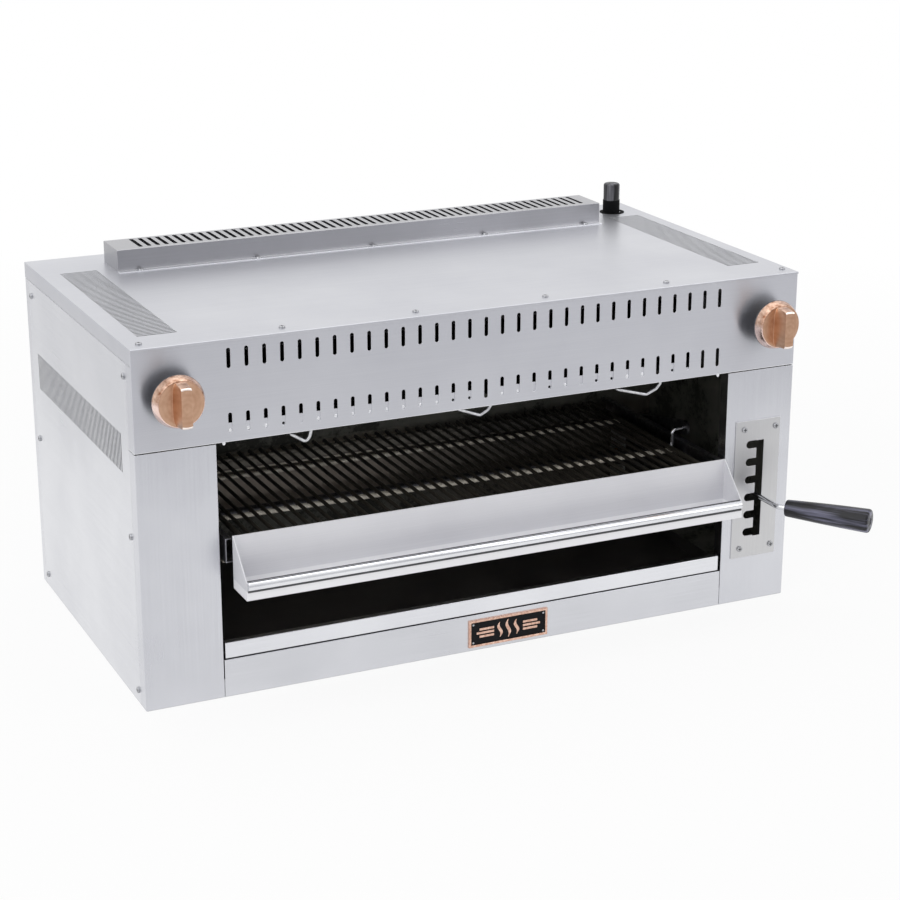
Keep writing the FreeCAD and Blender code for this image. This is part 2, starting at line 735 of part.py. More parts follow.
def burner_tiles():
    """Ceramic tiles that glow, lying on the feet of the two chambers."""
    x0, x1, y0, y1 = burner_window()
    rest = 5.0
    x0 -= rest
    x1 += rest
    y0 -= rest
    y1 += rest
    across, along = TILE_GRID
    wide = (x1 - x0) / across
    deep = (y1 - y0) / along
    z0 = LINER_TOP + 2 * SHEET
    tiles = []
    for i in range(across):
        for j in range(along):
            x = x0 + i * wide
            y = y0 + j * deep
            tile = box(x, x + wide - TILE_GAP, y, y + deep - TILE_GAP, z0, z0 + TILE_THICK)
            tiles += [tile, mirrored(tile)]
    return Part.makeCompound(tiles)


def burner_screens():
    """Flat wire screens below the tiles."""
    x0, x1, y0, y1 = burner_window()
    level = LINER_TOP - SCREEN_WIRE
    rim = 8.0
    outline = rectangle("XY", level, x0 - rim, x1 + rim, y0 - rim, y1 + rim)
    columns, rows = SCREEN_CELLS
    step_x = (x1 - x0) / columns
    step_y = (y1 - y0) / rows
    holes = []
    for i in range(columns):
        for j in range(rows):
            x = x0 + i * step_x
            y = y0 + j * step_y
            holes.append(rectangle("XY", level, x, x + step_x - SCREEN_WIRE, y, y + step_y - SCREEN_WIRE))
    screen = plate("XY", level, SCREEN_WIRE, outline, holes)
    return Part.makeCompound([screen, mirrored(screen)])


def mixing_tube(side):
    """Tube that draws air and gas into a chamber, with a bell mouth."""
    x = -KNOB_X[0] if side < 0 else KNOB_X[1]
    wall_x = BURNER[1] - BURNER_FLANGE
    y0, y1 = MIXER_RUN
    path = [(x, y0, MIXER_Z), (x, y1, MIXER_Z), (wall_x, y1, MIXER_Z)]
    outer = bent_rod(path, MIXER_BEND, MIXER_RADIUS)
    bore = bent_rod(path, MIXER_BEND, MIXER_BORE)
    start = V(x, y0 - MIXER_BELL_LENGTH, MIXER_Z)
    wall = MIXER_RADIUS - MIXER_BORE
    bell = Part.makeCone(MIXER_BELL, MIXER_RADIUS, MIXER_BELL_LENGTH, start, Y_AXIS)
    mouth = Part.makeCone(MIXER_BELL - wall, MIXER_BORE, MIXER_BELL_LENGTH, start, Y_AXIS)
    tube = outer.fuse(bell).cut(bore).cut(mouth)
    return tube if side > 0 else mirrored(tube)


def heat_shield():
    """Sheet over the chambers that keeps heat off the top cover."""
    z0 = LINER_TOP + SHEET
    y0, y1 = SHIELD_RUN
    top = box(-SHIELD_HALF, SHIELD_HALF, y0, y1, SHIELD_TOP, SHIELD_TOP + SHEET)
    outline = rectangle("YZ", SHIELD_HALF - SHEET, y0, y1, z0, SHIELD_TOP)
    passage = circle("YZ", SHIELD_HALF - SHEET, MIXER_RUN[1], MIXER_Z, MIXER_RADIUS + 1.0)
    leg = plate("YZ", SHIELD_HALF - SHEET, SHEET, outline, [passage])
    return join([top, leg, mirrored(leg)])


def pipe_core(radius, end):
    """Gas line of one radius: cross run, elbow, side run and inlet, open or solid."""
    corner = (PIPE_RUN_X, MANIFOLD_Y, GAS_Z)
    cross = rod((KNOB_X[0] - PIPE_STUB + end, MANIFOLD_Y, GAS_Z), corner, radius)
    elbow = Part.makeSphere(radius + ELBOW_SWELL, V(*corner))
    route = [corner, (PIPE_RUN_X, 90, GAS_Z), (INLET[0], INLET[1], GAS_Z), (INLET[0], INLET[1], INLET_TOP)]
    return cross.fuse(elbow).fuse(bent_rod(route, PIPE_BEND, radius))


def gas_manifold():
    """Gas line from the inlet behind the right corner to both valves."""
    return pipe_core(PIPE_OUTER, 0.0).cut(pipe_core(PIPE_BORE, PIPE_OUTER - PIPE_BORE))


def gas_valve(x):
    """Tap body on the gas line with a bore for its stem and an injector."""
    boss_radius, boss_length = VALVE_BOSS
    body = box(x - VALVE_HALF, x + VALVE_HALF, VALVE_FRONT, MANIFOLD_Y, GAS_Z - 15, GAS_Z + 13)
    front = VALVE_FRONT - boss_length
    boss = rod((x, front, GAS_Z), (x, VALVE_FRONT, GAS_Z), boss_radius)
    y0, y1 = DROP_RUN
    drop = box(x - DROP_HALF, x + DROP_HALF, y0, y1, MIXER_Z - DROP_HALF, GAS_Z - 15)
    radius, length, taper = INJECTOR
    injector = rod((x, y1, MIXER_Z), (x, y1 + length, MIXER_Z), radius)
    nose = Part.makeCone(radius, radius / 3, taper, V(x, y1 + length, MIXER_Z), Y_AXIS)
    tap = join([body, boss, drop, injector, nose])
    bore = rod((x, front, GAS_Z), (x, STEM_END + 1.0, GAS_Z), STEM_RADIUS + RUNNING_GAP)
    return tap.cut(pipe_core(PIPE_OUTER, 0.0)).cut(bore)


def valve_stem(x):
    """Spindle of a tap, which carries the knob."""
    return rod((x, KNOB_BACK - KNOB_SOCKET, GAS_Z), (x, STEM_END, GAS_Z), STEM_RADIUS)


def knob(x):
    """Round copper-coloured knob with a raised bar across its face."""
    profile = [(0, KNOB_BACK), (KNOB_SKIRT, KNOB_BACK), (KNOB_SKIRT, KNOB_BACK - KNOB_EDGE),
               (KNOB_FACE_RADIUS, KNOB_FACE), (0, KNOB_FACE)]
    corners = [V(x + r, y, GAS_Z) for r, y in profile]
    half = Part.Face(Part.makePolygon(corners + corners[:1]))
    skirt = half.revolve(V(x, 0, GAS_Z), Y_AXIS, 360)
    wide, tall = KNOB_BAR
    bar = box(x - wide / 2, x + wide / 2, KNOB_BAR_FACE, KNOB_FACE + 1, GAS_Z - tall / 2, GAS_Z + tall / 2)
    bar = bar.common(rod((x, KNOB_BAR_FACE, GAS_Z), (x, KNOB_BACK, GAS_Z), tall / 2))
    tips = [e for e in bar.Edges if abs(e.CenterOfMass.y - KNOB_BAR_FACE) < 0.01]
    bar = bar.makeChamfer(2.0, tips)
    recess = annulus((x, KNOB_BACK, GAS_Z), (x, KNOB_BACK - KNOB_RECESS, GAS_Z),
                     KNOB_FACE_RADIUS - 2.0, 2 * STEM_RADIUS)
    socket = rod((x, KNOB_BACK, GAS_Z), (x, KNOB_BACK - KNOB_SOCKET, GAS_Z), STEM_RADIUS)
    return join([skirt, bar]).cut(recess).cut(socket)


def pilot_head(dip):
    """Place of the burner head that a pilot tube feeds."""
    _, _, left, low = dip
    return left - PILOT_HEAD, PILOT_BACK, low + PILOT_RISE + 3


def pilot_tubes():
    """Thin tubes that dip below the control panel on their way to the pilots."""
    tubes = []
    for dip in PILOT_DIPS:
        right, middle, left, low = dip
        knee = right - 0.3 * (right - middle)
        path = [(right, MANIFOLD_Y - 4, GAS_Z - PIPE_OUTER + 5), (right, PILOT_FRONT, GAS_Z - 27),
                (right, PILOT_FRONT, low + PILOT_RISE + 1), (knee, PILOT_FRONT, low + PILOT_RISE / 2),
                (middle, PILOT_FRONT, low), (left, PILOT_FRONT, low + PILOT_RISE), pilot_head(dip)]
        tube = bent_rod(path, PILOT_BEND, PILOT_TUBE)
        pipe = rod((right - 30, MANIFOLD_Y, GAS_Z), (right + 30, MANIFOLD_Y, GAS_Z), PIPE_OUTER)
        tubes.append(tube.cut(pipe))
    return Part.makeCompound(tubes)


def pilot_burners():
    """Small burner heads at the ends of the pilot tubes."""
    heads = []
    for dip in PILOT_DIPS:
        x, y, z = pilot_head(dip)
        h = PILOT_HEAD
        heads.append(box(x - h, x + h, y, y + 2 * h, z - h, LINER_TOP - 2 * SCREEN_WIRE))
    return Part.makeCompound(heads).cut(pilot_tubes())


def inlet_cap():
    """Push-on cap over the end of the gas inlet pipe."""
    x, y = INLET
    foot_radius, top_radius = CAP_RADII
    foot, top = CAP_Z
    cap = Part.makeCone(foot_radius, top_radius, top - foot, V(x, y, foot), Z_AXIS)
    rim = [e for e in cap.Edges if abs(e.CenterOfMass.z - top) < 0.01]
    cap = cap.makeFillet(EDGE_RADIUS, rim)
    return cap.cut(rod((x, y, foot), (x, y, INLET_TOP + 2), PIPE_OUTER + CAP_GAP))


def lift_brackets():
    """Upright plates on the bearers that carry the shaft and the studs."""
    x0, x1 = BRACKET_X
    y, z = SHAFT_YZ
    uy, uz = UPPER_PIVOT_YZ
    outline = rectangle("YZ", x0, y - BRACKET_HALF, y + BRACKET_HALF, BEARER_TOP, BRACKET_TOP)
    holes = [circle("YZ", x0, y, z, SHAFT_RADIUS + 3.0), circle("YZ", x0, uy, uz, STUD_RADIUS)]
    upright = plate("YZ", x0, x1 - x0, outline, holes)
    foot = box(x1, x1 + 18, y - BRACKET_HALF, y + BRACKET_HALF, BEARER_TOP, BEARER_TOP + 3.0)
    bracket = join([upright, foot])
    return Part.makeCompound([bracket, mirrored(bracket)])


def shaft_bushes():
    """Bushes for the cross shaft: one in each bracket, one on the liner."""
    y, z = SHAFT_YZ
    x0, x1 = BRACKET_X
    bore = SHAFT_RADIUS + RUNNING_GAP
    bush = annulus((x0 - 1.5, y, z), (x1 + 3.0, y, z), SHAFT_RADIUS + 3.0, bore)
    collar = annulus((x1, y, z), (x1 + 3.0, y, z), SHAFT_RADIUS + 6.0, SHAFT_RADIUS + 3.0)
    bush = join([bush, collar])
    end = annulus((BEARER[1] - 8.0, y, z), (BEARER[1], y, z), SHAFT_RADIUS + 5.0, bore)
    return Part.makeCompound([bush, mirrored(bush), end])


def upper_arm_studs():
    """Shouldered studs on which the upper arms turn."""
    y, z = UPPER_PIVOT_YZ
    x0 = BRACKET_X[0]
    pin = rod((ARM_X[0] - 0.5, y, z), (BRACKET_X[1], y, z), STUD_RADIUS)
    shoulder = rod((ARM_X[1] + 0.5, y, z), (x0, y, z), STUD_RADIUS + 3.0)
    head = rod((ARM_X[0] - 2.5, y, z), (ARM_X[0] - 0.5, y, z), STUD_RADIUS + 3.0)
    stud = join([pin, shoulder, head])
    return Part.makeCompound([stud, mirrored(stud)])


def lift_shaft():
    """Round cross shaft of the lift."""
    y, z = SHAFT_YZ
    return rod((-BRACKET_X[1] - 13.0, y, z), (BEARER[1] - 2.0, y, z), SHAFT_RADIUS)


def arm_plate(start, end, start_hole, end_hole):
    """Flat link with round ends between two pivots."""
    y0, z0 = start
    y1, z1 = end
    x0, x1 = ARM_X
    length = math.hypot(y1 - y0, z1 - z0)
    bar = plate("YZ", x0, x1 - x0, slot("YZ", x0, 0, 0, 2 * ARM_HALF_WIDTH, length + 2 * ARM_HALF_WIDTH, False))
    bar.rotate(V(0, 0, 0), X_AXIS, math.degrees(math.atan2(z1 - z0, y1 - y0)))
    bar.translate(V(0, (y0 + y1) / 2, (z0 + z1) / 2))
    bar = bar.cut(rod((x0 - 1, y0, z0), (x1 + 1, y0, z0), start_hole))
    return bar.cut(rod((x0 - 1, y1, z1), (x1 + 1, y1, z1), end_hole))


def lower_arms():
    """Two arms welded to the shaft that lift the carriage."""
    arm = arm_plate(SHAFT_YZ, CARRIAGE_PIVOT_YZ, SHAFT_RADIUS, CARRIAGE_PIN + RUNNING_GAP)
    return Part.makeCompound([arm, mirrored(arm)])


def right_upper_arm():
    """Upper link that keeps the carriage level."""
    return arm_plate(UPPER_PIVOT_YZ, HANGER_EYE_YZ, STUD_RADIUS + RUNNING_GAP, HANGER_EYE)


def left_upper_arm():
    """The same link on the left."""
    return mirrored(right_upper_arm())


def lever_crank():
    """Hub on the shaft with a fork and an upright pin for the lever."""
    x, py, pz = LEVER_PIN
    y, z = SHAFT_YZ
    half = CRANK_HALF
    hub = annulus((x - half, y, z), (x + half, y, z), SHAFT_RADIUS + 6.0, SHAFT_RADIUS)
    web = box(x - half, x + half, py + FORK_REACH, py + FORK_REACH + half, z + half, pz + half)
    web = web.cut(rod((x - half, y, z), (x + half, y, z), SHAFT_RADIUS + 3.0))
    gap = LEVER_EYE[1] / 2 + 0.5
    upper = box(x - half, x + half, py - half, py + FORK_REACH, pz + gap, pz + half)
    lower = box(x - half, x + half, py - half, py + FORK_REACH, pz - half, pz - gap)
    pin = rod((x, py, pz - half - 2), (x, py, pz + half + 2), STUD_RADIUS)
    return join([hub, web, upper, lower, pin])


def lever_direction():
    """Heading of the lever's outer end."""
    angle = math.radians(LEVER_ANGLE)
    return V(math.sin(angle), -math.cos(angle), 0)


def lever_rod():
    """Straight round lever with a flat eye, and the bent end welded on outside the comb."""
    x, y, z = LEVER_PIN
    radius, thick = LEVER_EYE
    corner = V(x, LEVER_BEND_Y, z)
    tip = corner + lever_direction() * (GRIP_START + GRIP_SOCKET)
    weld = (x, LEVER_WELD_Y, z)
    straight = rod((x, y - radius, z), weld, LEVER_ROD)
    outer = bent_rod([weld, tuple(corner), tuple(tip)], LEVER_BEND, LEVER_ROD)
    eye = Part.makeCylinder(radius + 0.5, thick, V(x, y, z - thick / 2), Z_AXIS)
    hole = rod((x, y, z - thick), (x, y, z + thick), STUD_RADIUS + RUNNING_GAP)
    return Part.makeCompound([join([eye, straight]).cut(hole), outer])


def lever_grip():
    """Black tapered grip on the end of the lever."""
    x, _, z = LEVER_PIN
    heading = lever_direction()
    start = V(x, LEVER_BEND_Y, z) + heading * GRIP_START
    r0, r1 = GRIP_RADII
    body = Part.makeCone(r0, r1, GRIP_LENGTH, start, heading)
    body = body.makeFillet(3.0, [e for e in body.Edges if len(e.Vertexes) == 1])
    return body.cut(Part.makeCylinder(LEVER_ROD, GRIP_SOCKET, start, heading))


def carriage_rails():
    """Two channels in which the rack slides, with their drop plates and pins."""
    y0, y1 = RAIL_RUN
    z0, z1 = RAIL_Z
    web0, web1 = RAIL_WEB
    profile = [(web1, z1), (RAIL_LIP, z1), (RAIL_LIP, z1 - PAN_SHEET), (web0, z1 - PAN_SHEET),
               (web0, z0 + PAN_SHEET), (RAIL_SHELF, z0 + PAN_SHEET), (RAIL_SHELF, z0), (web1, z0)]
    rail = plate("XZ", y0, y1 - y0, polygon("XZ", y0, profile))
    py, pz = CARRIAGE_PIVOT_YZ
    outer = web1 + DROP_PLATE
    h = DROP_PLATE_HALF
    drop = box(web1, outer, py - h, py + h, pz - h, z1 - 4)
    drop = soften(drop, h - 4, [(web1 + 1, py - h, pz - h), (web1 + 1, py + h, pz - h)])
    pin = rod((outer, py, pz), (ARM_X[1] + 1.5, py, pz), CARRIAGE_PIN)
    side = join([rail, drop, pin])
    return Part.makeCompound([side, mirrored(side)])


def carriage_ties():
    """Flat cross ties under the rails."""
    z0, z1 = TIE_Z
    half = RAIL_WEB[1]
    ties = [box(-half, half, y - TIE_HALF, y + TIE_HALF, z0, z1) for y in TIES_Y]
    return Part.makeCompound(ties)


def hanger_rods():
    """Bent rods that stand on the rails and carry the upper arms."""
    y, z = HANGER_EYE_YZ
    foot = RAIL_Z[0] + PAN_SHEET
    path = [(HANGER_X, y, foot), (HANGER_X, y, z), (ARM_X[1] + 2.0, y, z)]
    bar = bent_rod(path, HANGER_BEND, HANGER_ROD)
    tab = box(HANGER_X - 4, RAIL_WEB[0], y - 9, y + 5, foot, foot + HANGER_TAB)
    hanger = join([bar, tab])
    return Part.makeCompound([hanger, mirrored(hanger)])


def rack_frame():
    """Flat bar frame that carries the grid and slides in the rails."""
    x0, x1 = SIDE_BAR
    y0, y1 = RACK_RUN
    z0, z1 = SIDE_BAR_Z
    side = box(x0, x1, y0, y1, z0, z1)
    rear = box(-x0, x0, y1 - 4, y1, z0, z1)
    return join([side, mirrored(side), rear])


def grill_grid():
    """Welded grid of front-to-back rods on cross bars."""
    y0, y1 = GRID_RUN
    bars = []
    for i in range(-GRID_HALF_COUNT, GRID_HALF_COUNT + 1):
        bars.append(rod((i * GRID_PITCH, y0, GRID_Z), (i * GRID_PITCH, y1, GRID_Z), GRID_ROD))
    for x in (-GRID_SIDE, GRID_SIDE):
        bars.append(rod((x, y0, GRID_Z), (x, y1, GRID_Z), GRID_WIRE))
    reach = SIDE_BAR[1]
    for y in CROSS_BARS:
        bars.append(rod((-reach, y, CROSS_BAR_Z), (reach, y, CROSS_BAR_Z), GRID_WIRE))
    return bars[0].fuse(bars[1:])


def drip_trough():
    """Folded trough along the front of the rack, with end caps."""
    s = PAN_SHEET
    z0, z1 = TROUGH_Z
    y0 = TROUGH_FRONT
    y1 = TROUGH_BACK
    ends = TROUGH_HALF - s
    back = plate("XZ", y1 - s, s, rectangle("XZ", y1 - s, -ends, ends, z0, z1),
                 [circle("XZ", y1 - s, DRAIN_X, z0 + 8, 2.5), rectangle("XZ", y1 - s, *DRAIN_SLOT)])
    floor = box(-ends, ends, y0, y1, z0, z0 + s)
    lip = box(-ends, ends, y0, y0 + s, z0, TROUGH_LIP)
    outline = [(y1, z0), (y0, z0), (y0, TROUGH_CAP_FRONT), (y1 - s, z1), (y1, z1)]
    cap = plate("YZ", ends, s, polygon("YZ", ends, outline))
    return join([back, floor, lip, cap, mirrored(cap)])


def trough_front_bar():
    """Round bar along the lip of the trough, which the cook pulls."""
    radius, y, z = FRONT_BAR
    half = TROUGH_HALF - PAN_SHEET
    return rod((-half, y, z), (half, y, z), radius)


def crumb_tray():
    """Sliding tray on the bearers, with a front that closes the gap."""
    z0, z1 = TRAY_Z
    outer = box(-TRAY_HALF, TRAY_HALF, INNER_FRONT, TRAY_BACK, z0, z1)
    inner = box(-TRAY_HALF + SHEET, TRAY_HALF - SHEET, INNER_FRONT, TRAY_BACK - SHEET, z0 + SHEET, z1)
    x0, x1, top = TRAY_LIP
    face = box(x0, x1, FRONT, INNER_FRONT, z0, top)
    fold = box(x0, x1, FRONT, FRONT + 9.0, top - SHEET, top)
    tray = join([outer.cut(inner), face, fold])
    return soften(tray, EDGE_RADIUS, [(0, FRONT, top)])


def build():
    """Write every sub-part to its own file."""
    os.makedirs("parts", exist_ok=True)
    pieces = {
        "base_pan": base_pan(),
        "leg_nuts": leg_nuts(),
        "base_front_panel": base_front_panel(),
        "left_pillar": left_pillar(),
        "right_pillar": right_pillar(),
        "control_panel": control_panel(),
        "left_side_panel": left_side_panel(),
        "right_side_panel": right_side_panel(),
        "back_panel": back_panel(),
        "top_cover": top_cover(),
        "flue_riser": flue_riser(),
        "corner_posts": corner_posts(),
        "side_screws": side_screws(),
        "top_screws": top_screws(),
        "riser_screws": riser_screws(),
        "notch_plate": notch_plate(),
        "notch_plate_screws": notch_plate_screws(),
        "badge_frame": badge_frame(),
        "badge_field": badge_field(),
        "badge_screws": badge_screws(),
        "side_bearers": side_bearers(),
        "liner_left": liner_left(),
        "liner_right": liner_right(),
        "liner_back": liner_back(),
        "burner_deck": burner_deck(),
        "left_burner_box": left_burner_box(),
        "right_burner_box": right_burner_box(),
        "burner_tiles": burner_tiles(),
        "burner_screens": burner_screens(),
        "left_mixing_tube": mixing_tube(-1),
        "right_mixing_tube": mixing_tube(1),
        "heat_shield": heat_shield(),
        "gas_manifold": gas_manifold(),
        "left_gas_valve": gas_valve(KNOB_X[0]),
        "right_gas_valve": gas_valve(KNOB_X[1]),
        "pilot_tubes": pilot_tubes(),
        "pilot_burners": pilot_burners(),
        "inlet_cap": inlet_cap(),
        "left_valve_stem": valve_stem(KNOB_X[0]),
        "right_valve_stem": valve_stem(KNOB_X[1]),
        "left_knob": knob(KNOB_X[0]),
        "right_knob": knob(KNOB_X[1]),
        "lift_brackets": lift_brackets(),
        "shaft_bushes": shaft_bushes(),
        "upper_arm_studs": upper_arm_studs(),
        "lift_shaft": lift_shaft(),
        "lower_arms": lower_arms(),
        "lever_crank": lever_crank(),
        "lever_rod": lever_rod(),
        "lever_grip": lever_grip(),
        "left_upper_arm": left_upper_arm(),
        "right_upper_arm": right_upper_arm(),
        "carriage_rails": carriage_rails(),
        "carriage_ties": carriage_ties(),
        "hanger_rods": hanger_rods(),
        "rack_frame": rack_frame(),
        "grill_grid": grill_grid(),
        "drip_trough": drip_trough(),
        "trough_front_bar": trough_front_bar(),
        "crumb_tray": crumb_tray(),
    }
    for name, shape in pieces.items():
        shape.exportStep(f"parts/{name}.step")
        solids = len(shape.Solids)
        print(f"{name}: {solids} solids, {shape.Volume / 1000:.1f} cm3, valid {shape.isValid()}")


build()
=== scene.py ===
import logging
import math
import random
from dataclasses import dataclass
from enum import Enum
from typing import Any, Callable, Mapping, Sequence

import bmesh
import bpy
from mathutils import Matrix, Vector


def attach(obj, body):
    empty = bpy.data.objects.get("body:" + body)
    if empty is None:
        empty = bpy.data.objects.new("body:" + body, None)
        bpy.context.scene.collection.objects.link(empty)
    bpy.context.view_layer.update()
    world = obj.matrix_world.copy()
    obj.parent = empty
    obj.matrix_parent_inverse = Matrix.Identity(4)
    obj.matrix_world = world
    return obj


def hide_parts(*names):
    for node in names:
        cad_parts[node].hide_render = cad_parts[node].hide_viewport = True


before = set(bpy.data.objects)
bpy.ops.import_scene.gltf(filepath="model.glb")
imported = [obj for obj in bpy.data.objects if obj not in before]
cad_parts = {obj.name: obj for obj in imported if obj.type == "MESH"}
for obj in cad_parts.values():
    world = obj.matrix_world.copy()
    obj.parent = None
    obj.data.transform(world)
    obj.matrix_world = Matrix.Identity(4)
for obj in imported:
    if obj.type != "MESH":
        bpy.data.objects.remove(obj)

# Dresses the gas salamander grill. Blender's unit is the metre; every size in
# the classes below is in millimetres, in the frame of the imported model: X to
# the cook's right, the cook on the -Y side, Z up from the underside.

LOG = logging.getLogger("salamander")
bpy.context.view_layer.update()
MILLIMETRE = 0.001
PER_METRE = 1000.0
QUARTER_TURN = 0.25
RINGS_PER_SCALE = 20.0

Colour = tuple[float, float, float, float]
Point = tuple[float, float, float]
Outline = Sequence[tuple[float, float]]


class Body(Enum):
    """The bodies of the grill that carry pieces made here."""

    CABINET = "cabinet"
    RACK = "rack"
    LEVER = "lever"
    LEFT_CONTROL = "left_control"
    RIGHT_CONTROL = "right_control"
    CAP = "cap"


class Grain(Enum):
    """The way the brush lines of a sheet run, as one weight per axis."""

    ALONG_X = (0, 1, 1)
    ALONG_Y = (1, 0, 1)
    ALONG_Z = (1, 1, 0)


def linear(code: str) -> Colour:
    """Turns an sRGB hex colour into the linear colour that a shader takes.

    Args:
        code: Colour as written on a colour card, such as "#C0C0C4".

    Returns:
        Linear red, green, blue and an alpha of one.
    """
    parts = [int(code[i:i + 2], 16) / 255 for i in (1, 3, 5)]
    curve = [p / 12.92 if p <= 0.04045 else ((p + 0.055) / 1.055) ** 2.4 for p in parts]
    return curve[0], curve[1], curve[2], 1.0


def put(tree: bpy.types.NodeTree, kind: str, settings: Mapping[Any, Any] | None = None,
        links: Mapping[Any, Any] | None = None) -> bpy.types.Node:
    """Adds one node with its settings and its incoming links.

    Args:
        tree: Node tree that the node goes into.
        kind: Blender's class name of the node.
        settings: Values by input name, input number or property name. The
            word "stops" holds the (place, colour) pairs of a colour ramp.
        links: By input name or number, a node (its first output is used) or
            a pair of a node and the name or number of its output.

    Returns:
        The new node.
    """
    made = tree.nodes.new(kind)
    for key, value in (settings or {}).items():
        if key == "stops":
            ramp = made.color_ramp
            while len(ramp.elements) < len(value):
                ramp.elements.new(0.5)
            for stop, (place, colour) in zip(ramp.elements, value):
                stop.position = place
                stop.color = colour
        elif isinstance(key, int) or key in made.inputs:
            made.inputs[key].default_value = value
        else:
            setattr(made, key, value)
    for key, source in (links or {}).items():
        giver, output = source if isinstance(source, tuple) else (source, 0)
        tree.links.new(giver.outputs[output], made.inputs[key])
    return made


@dataclass(frozen=True)
class Finish:
    """A surface, told as what it is made of and how it was made."""

    name: str

    def shade(self, tree: bpy.types.NodeTree) -> bpy.types.Node:
        """Builds the surface shader; each finish has its own."""
        raise NotImplementedError(self.name)

    def material(self) -> bpy.types.Material:
        """Makes the material of this finish, or finds it when it is there.

        Returns:
            The material, shared by every piece with this finish.
        """
        made = bpy.data.materials.get(self.name)
        if made is None:
            made = bpy.data.materials.new(self.name)
            made.use_nodes = True
            made.node_tree.nodes.clear()
            shader = self.shade(made.node_tree)
            put(made.node_tree, "ShaderNodeOutputMaterial", links={"Surface": shader})
        return made


@dataclass(frozen=True)
class BrushedStainless(Finish):
    """Ferritic stainless sheet, ground with a belt to a satin face.

    The eye sees a pale, faintly blue grey, soft blurred reflections of what
    stands near, fine lines one way and a paler colour along every fold:
    painted highlight, with some wear.
    """

    light: str = "#D8D9DE"
    dark: str = "#CDCED4"
    edge: str = "#F0F1F4"
    roughness: float = 0.25
    grain: Grain = Grain.ALONG_X
    line_mm: float = 1.5
    line_stretch: float = 150.0
    cloud_mm: float = 160.0
    fold_mm: float = 0.7
    metallic: float = 1.0
    slot_shade: str = "#5E5E63"
    slot_shade_mm: float = 0.0
    anisotropy: float = 0.0

    def shade(self, tree: bpy.types.NodeTree) -> bpy.types.Node:
        """Builds the shader of the ground sheet.

        Args:
            tree: Node tree of the material.

        Returns:
            The surface shader.
        """
        place = put(tree, "ShaderNodeTexCoord")
        # Real belt lines are 0.1 to 0.3 mm apart. They are drawn coarser so
        # that they show at all, and far longer than they are wide.
        across = PER_METRE / self.line_mm
        along = across / self.line_stretch
        scale = [across if weight else along for weight in self.grain.value]
        stretch = put(tree, "ShaderNodeMapping", {"Scale": scale}, {"Vector": (place, "Object")})
        lines = put(tree, "ShaderNodeTexNoise", {"Scale": 1.0, "Detail": 3.0, "Roughness": 0.6},
                    {"Vector": stretch})
        clouds = put(tree, "ShaderNodeTexNoise",
                     {"Scale": PER_METRE / self.cloud_mm, "Detail": 3.0, "Roughness": 0.55},
                     {"Vector": (place, "Object")})
        blend = put(tree, "ShaderNodeMath", {"operation": "MULTIPLY_ADD", 1: 0.45}, {0: lines, 2: clouds})
        tone = put(tree, "ShaderNodeValToRGB",
                   {"stops": [(0.5, linear(self.dark)), (0.95, linear(self.light))]}, {"Fac": blend})
        fold = put(tree, "ShaderNodeBevel", {"samples": 6, "Radius": self.fold_mm * MILLIMETRE})
        flat = put(tree, "ShaderNodeNewGeometry")
        turn = put(tree, "ShaderNodeVectorMath", {"operation": "DOT_PRODUCT"}, {0: fold, 1: (flat, "Normal")})
        # Painted highlight: the colour turns paler where the Bevel normal leaves the true normal, along the
        # folds; a little of it is wear.
        edge_highlight = put(tree, "ShaderNodeMapRange",
                   {"From Min": 0.99, "From Max": 0.8, "To Min": 0.0, "To Max": 0.8},
                   {"Value": (turn, "Value")})
        colour = put(tree, "ShaderNodeMix", {"data_type": "RGBA", 7: linear(self.edge)}, {0: edge_highlight, 6: tone})
        if self.slot_shade_mm:
            # Painted shade: the walls of the narrow slots, which see little open sky, are darkened in colour.
            open_sky = put(tree, "ShaderNodeAmbientOcclusion",
                           {"samples": 6, "only_local": True, "Distance": self.slot_shade_mm * MILLIMETRE})
            slot_shade_share = put(tree, "ShaderNodeMapRange", {"From Min": 0.98, "From Max": 0.72},
                       {"Value": (open_sky, "AO")})
            colour = put(tree, "ShaderNodeMix", {"data_type": "RGBA", 7: linear(self.slot_shade)},
                         {0: slot_shade_share, 6: (colour, 2)})
        gloss = put(tree, "ShaderNodeMapRange",
                    {"From Min": 0.3, "From Max": 1.1, "To Min": self.roughness + 0.05,
                     "To Max": self.roughness - 0.05}, {"Value": blend})
        bump = put(tree, "ShaderNodeBump", {"Strength": 0.12, "Distance": 0.00004},
                   {"Height": lines, "Normal": fold})
        links = {"Base Color": (colour, 2), "Roughness": gloss, "Normal": bump}
        if self.anisotropy:
            # Belt lines scatter light across themselves, which draws every reflection out upwards.
            links["Tangent"] = put(tree, "ShaderNodeTangent", {"direction_type": "RADIAL", "axis": "Z"})
        return put(tree, "ShaderNodeBsdfPrincipled",
                   {"Metallic": self.metallic, "Anisotropic": self.anisotropy,
                    "Anisotropic Rotation": QUARTER_TURN}, links)


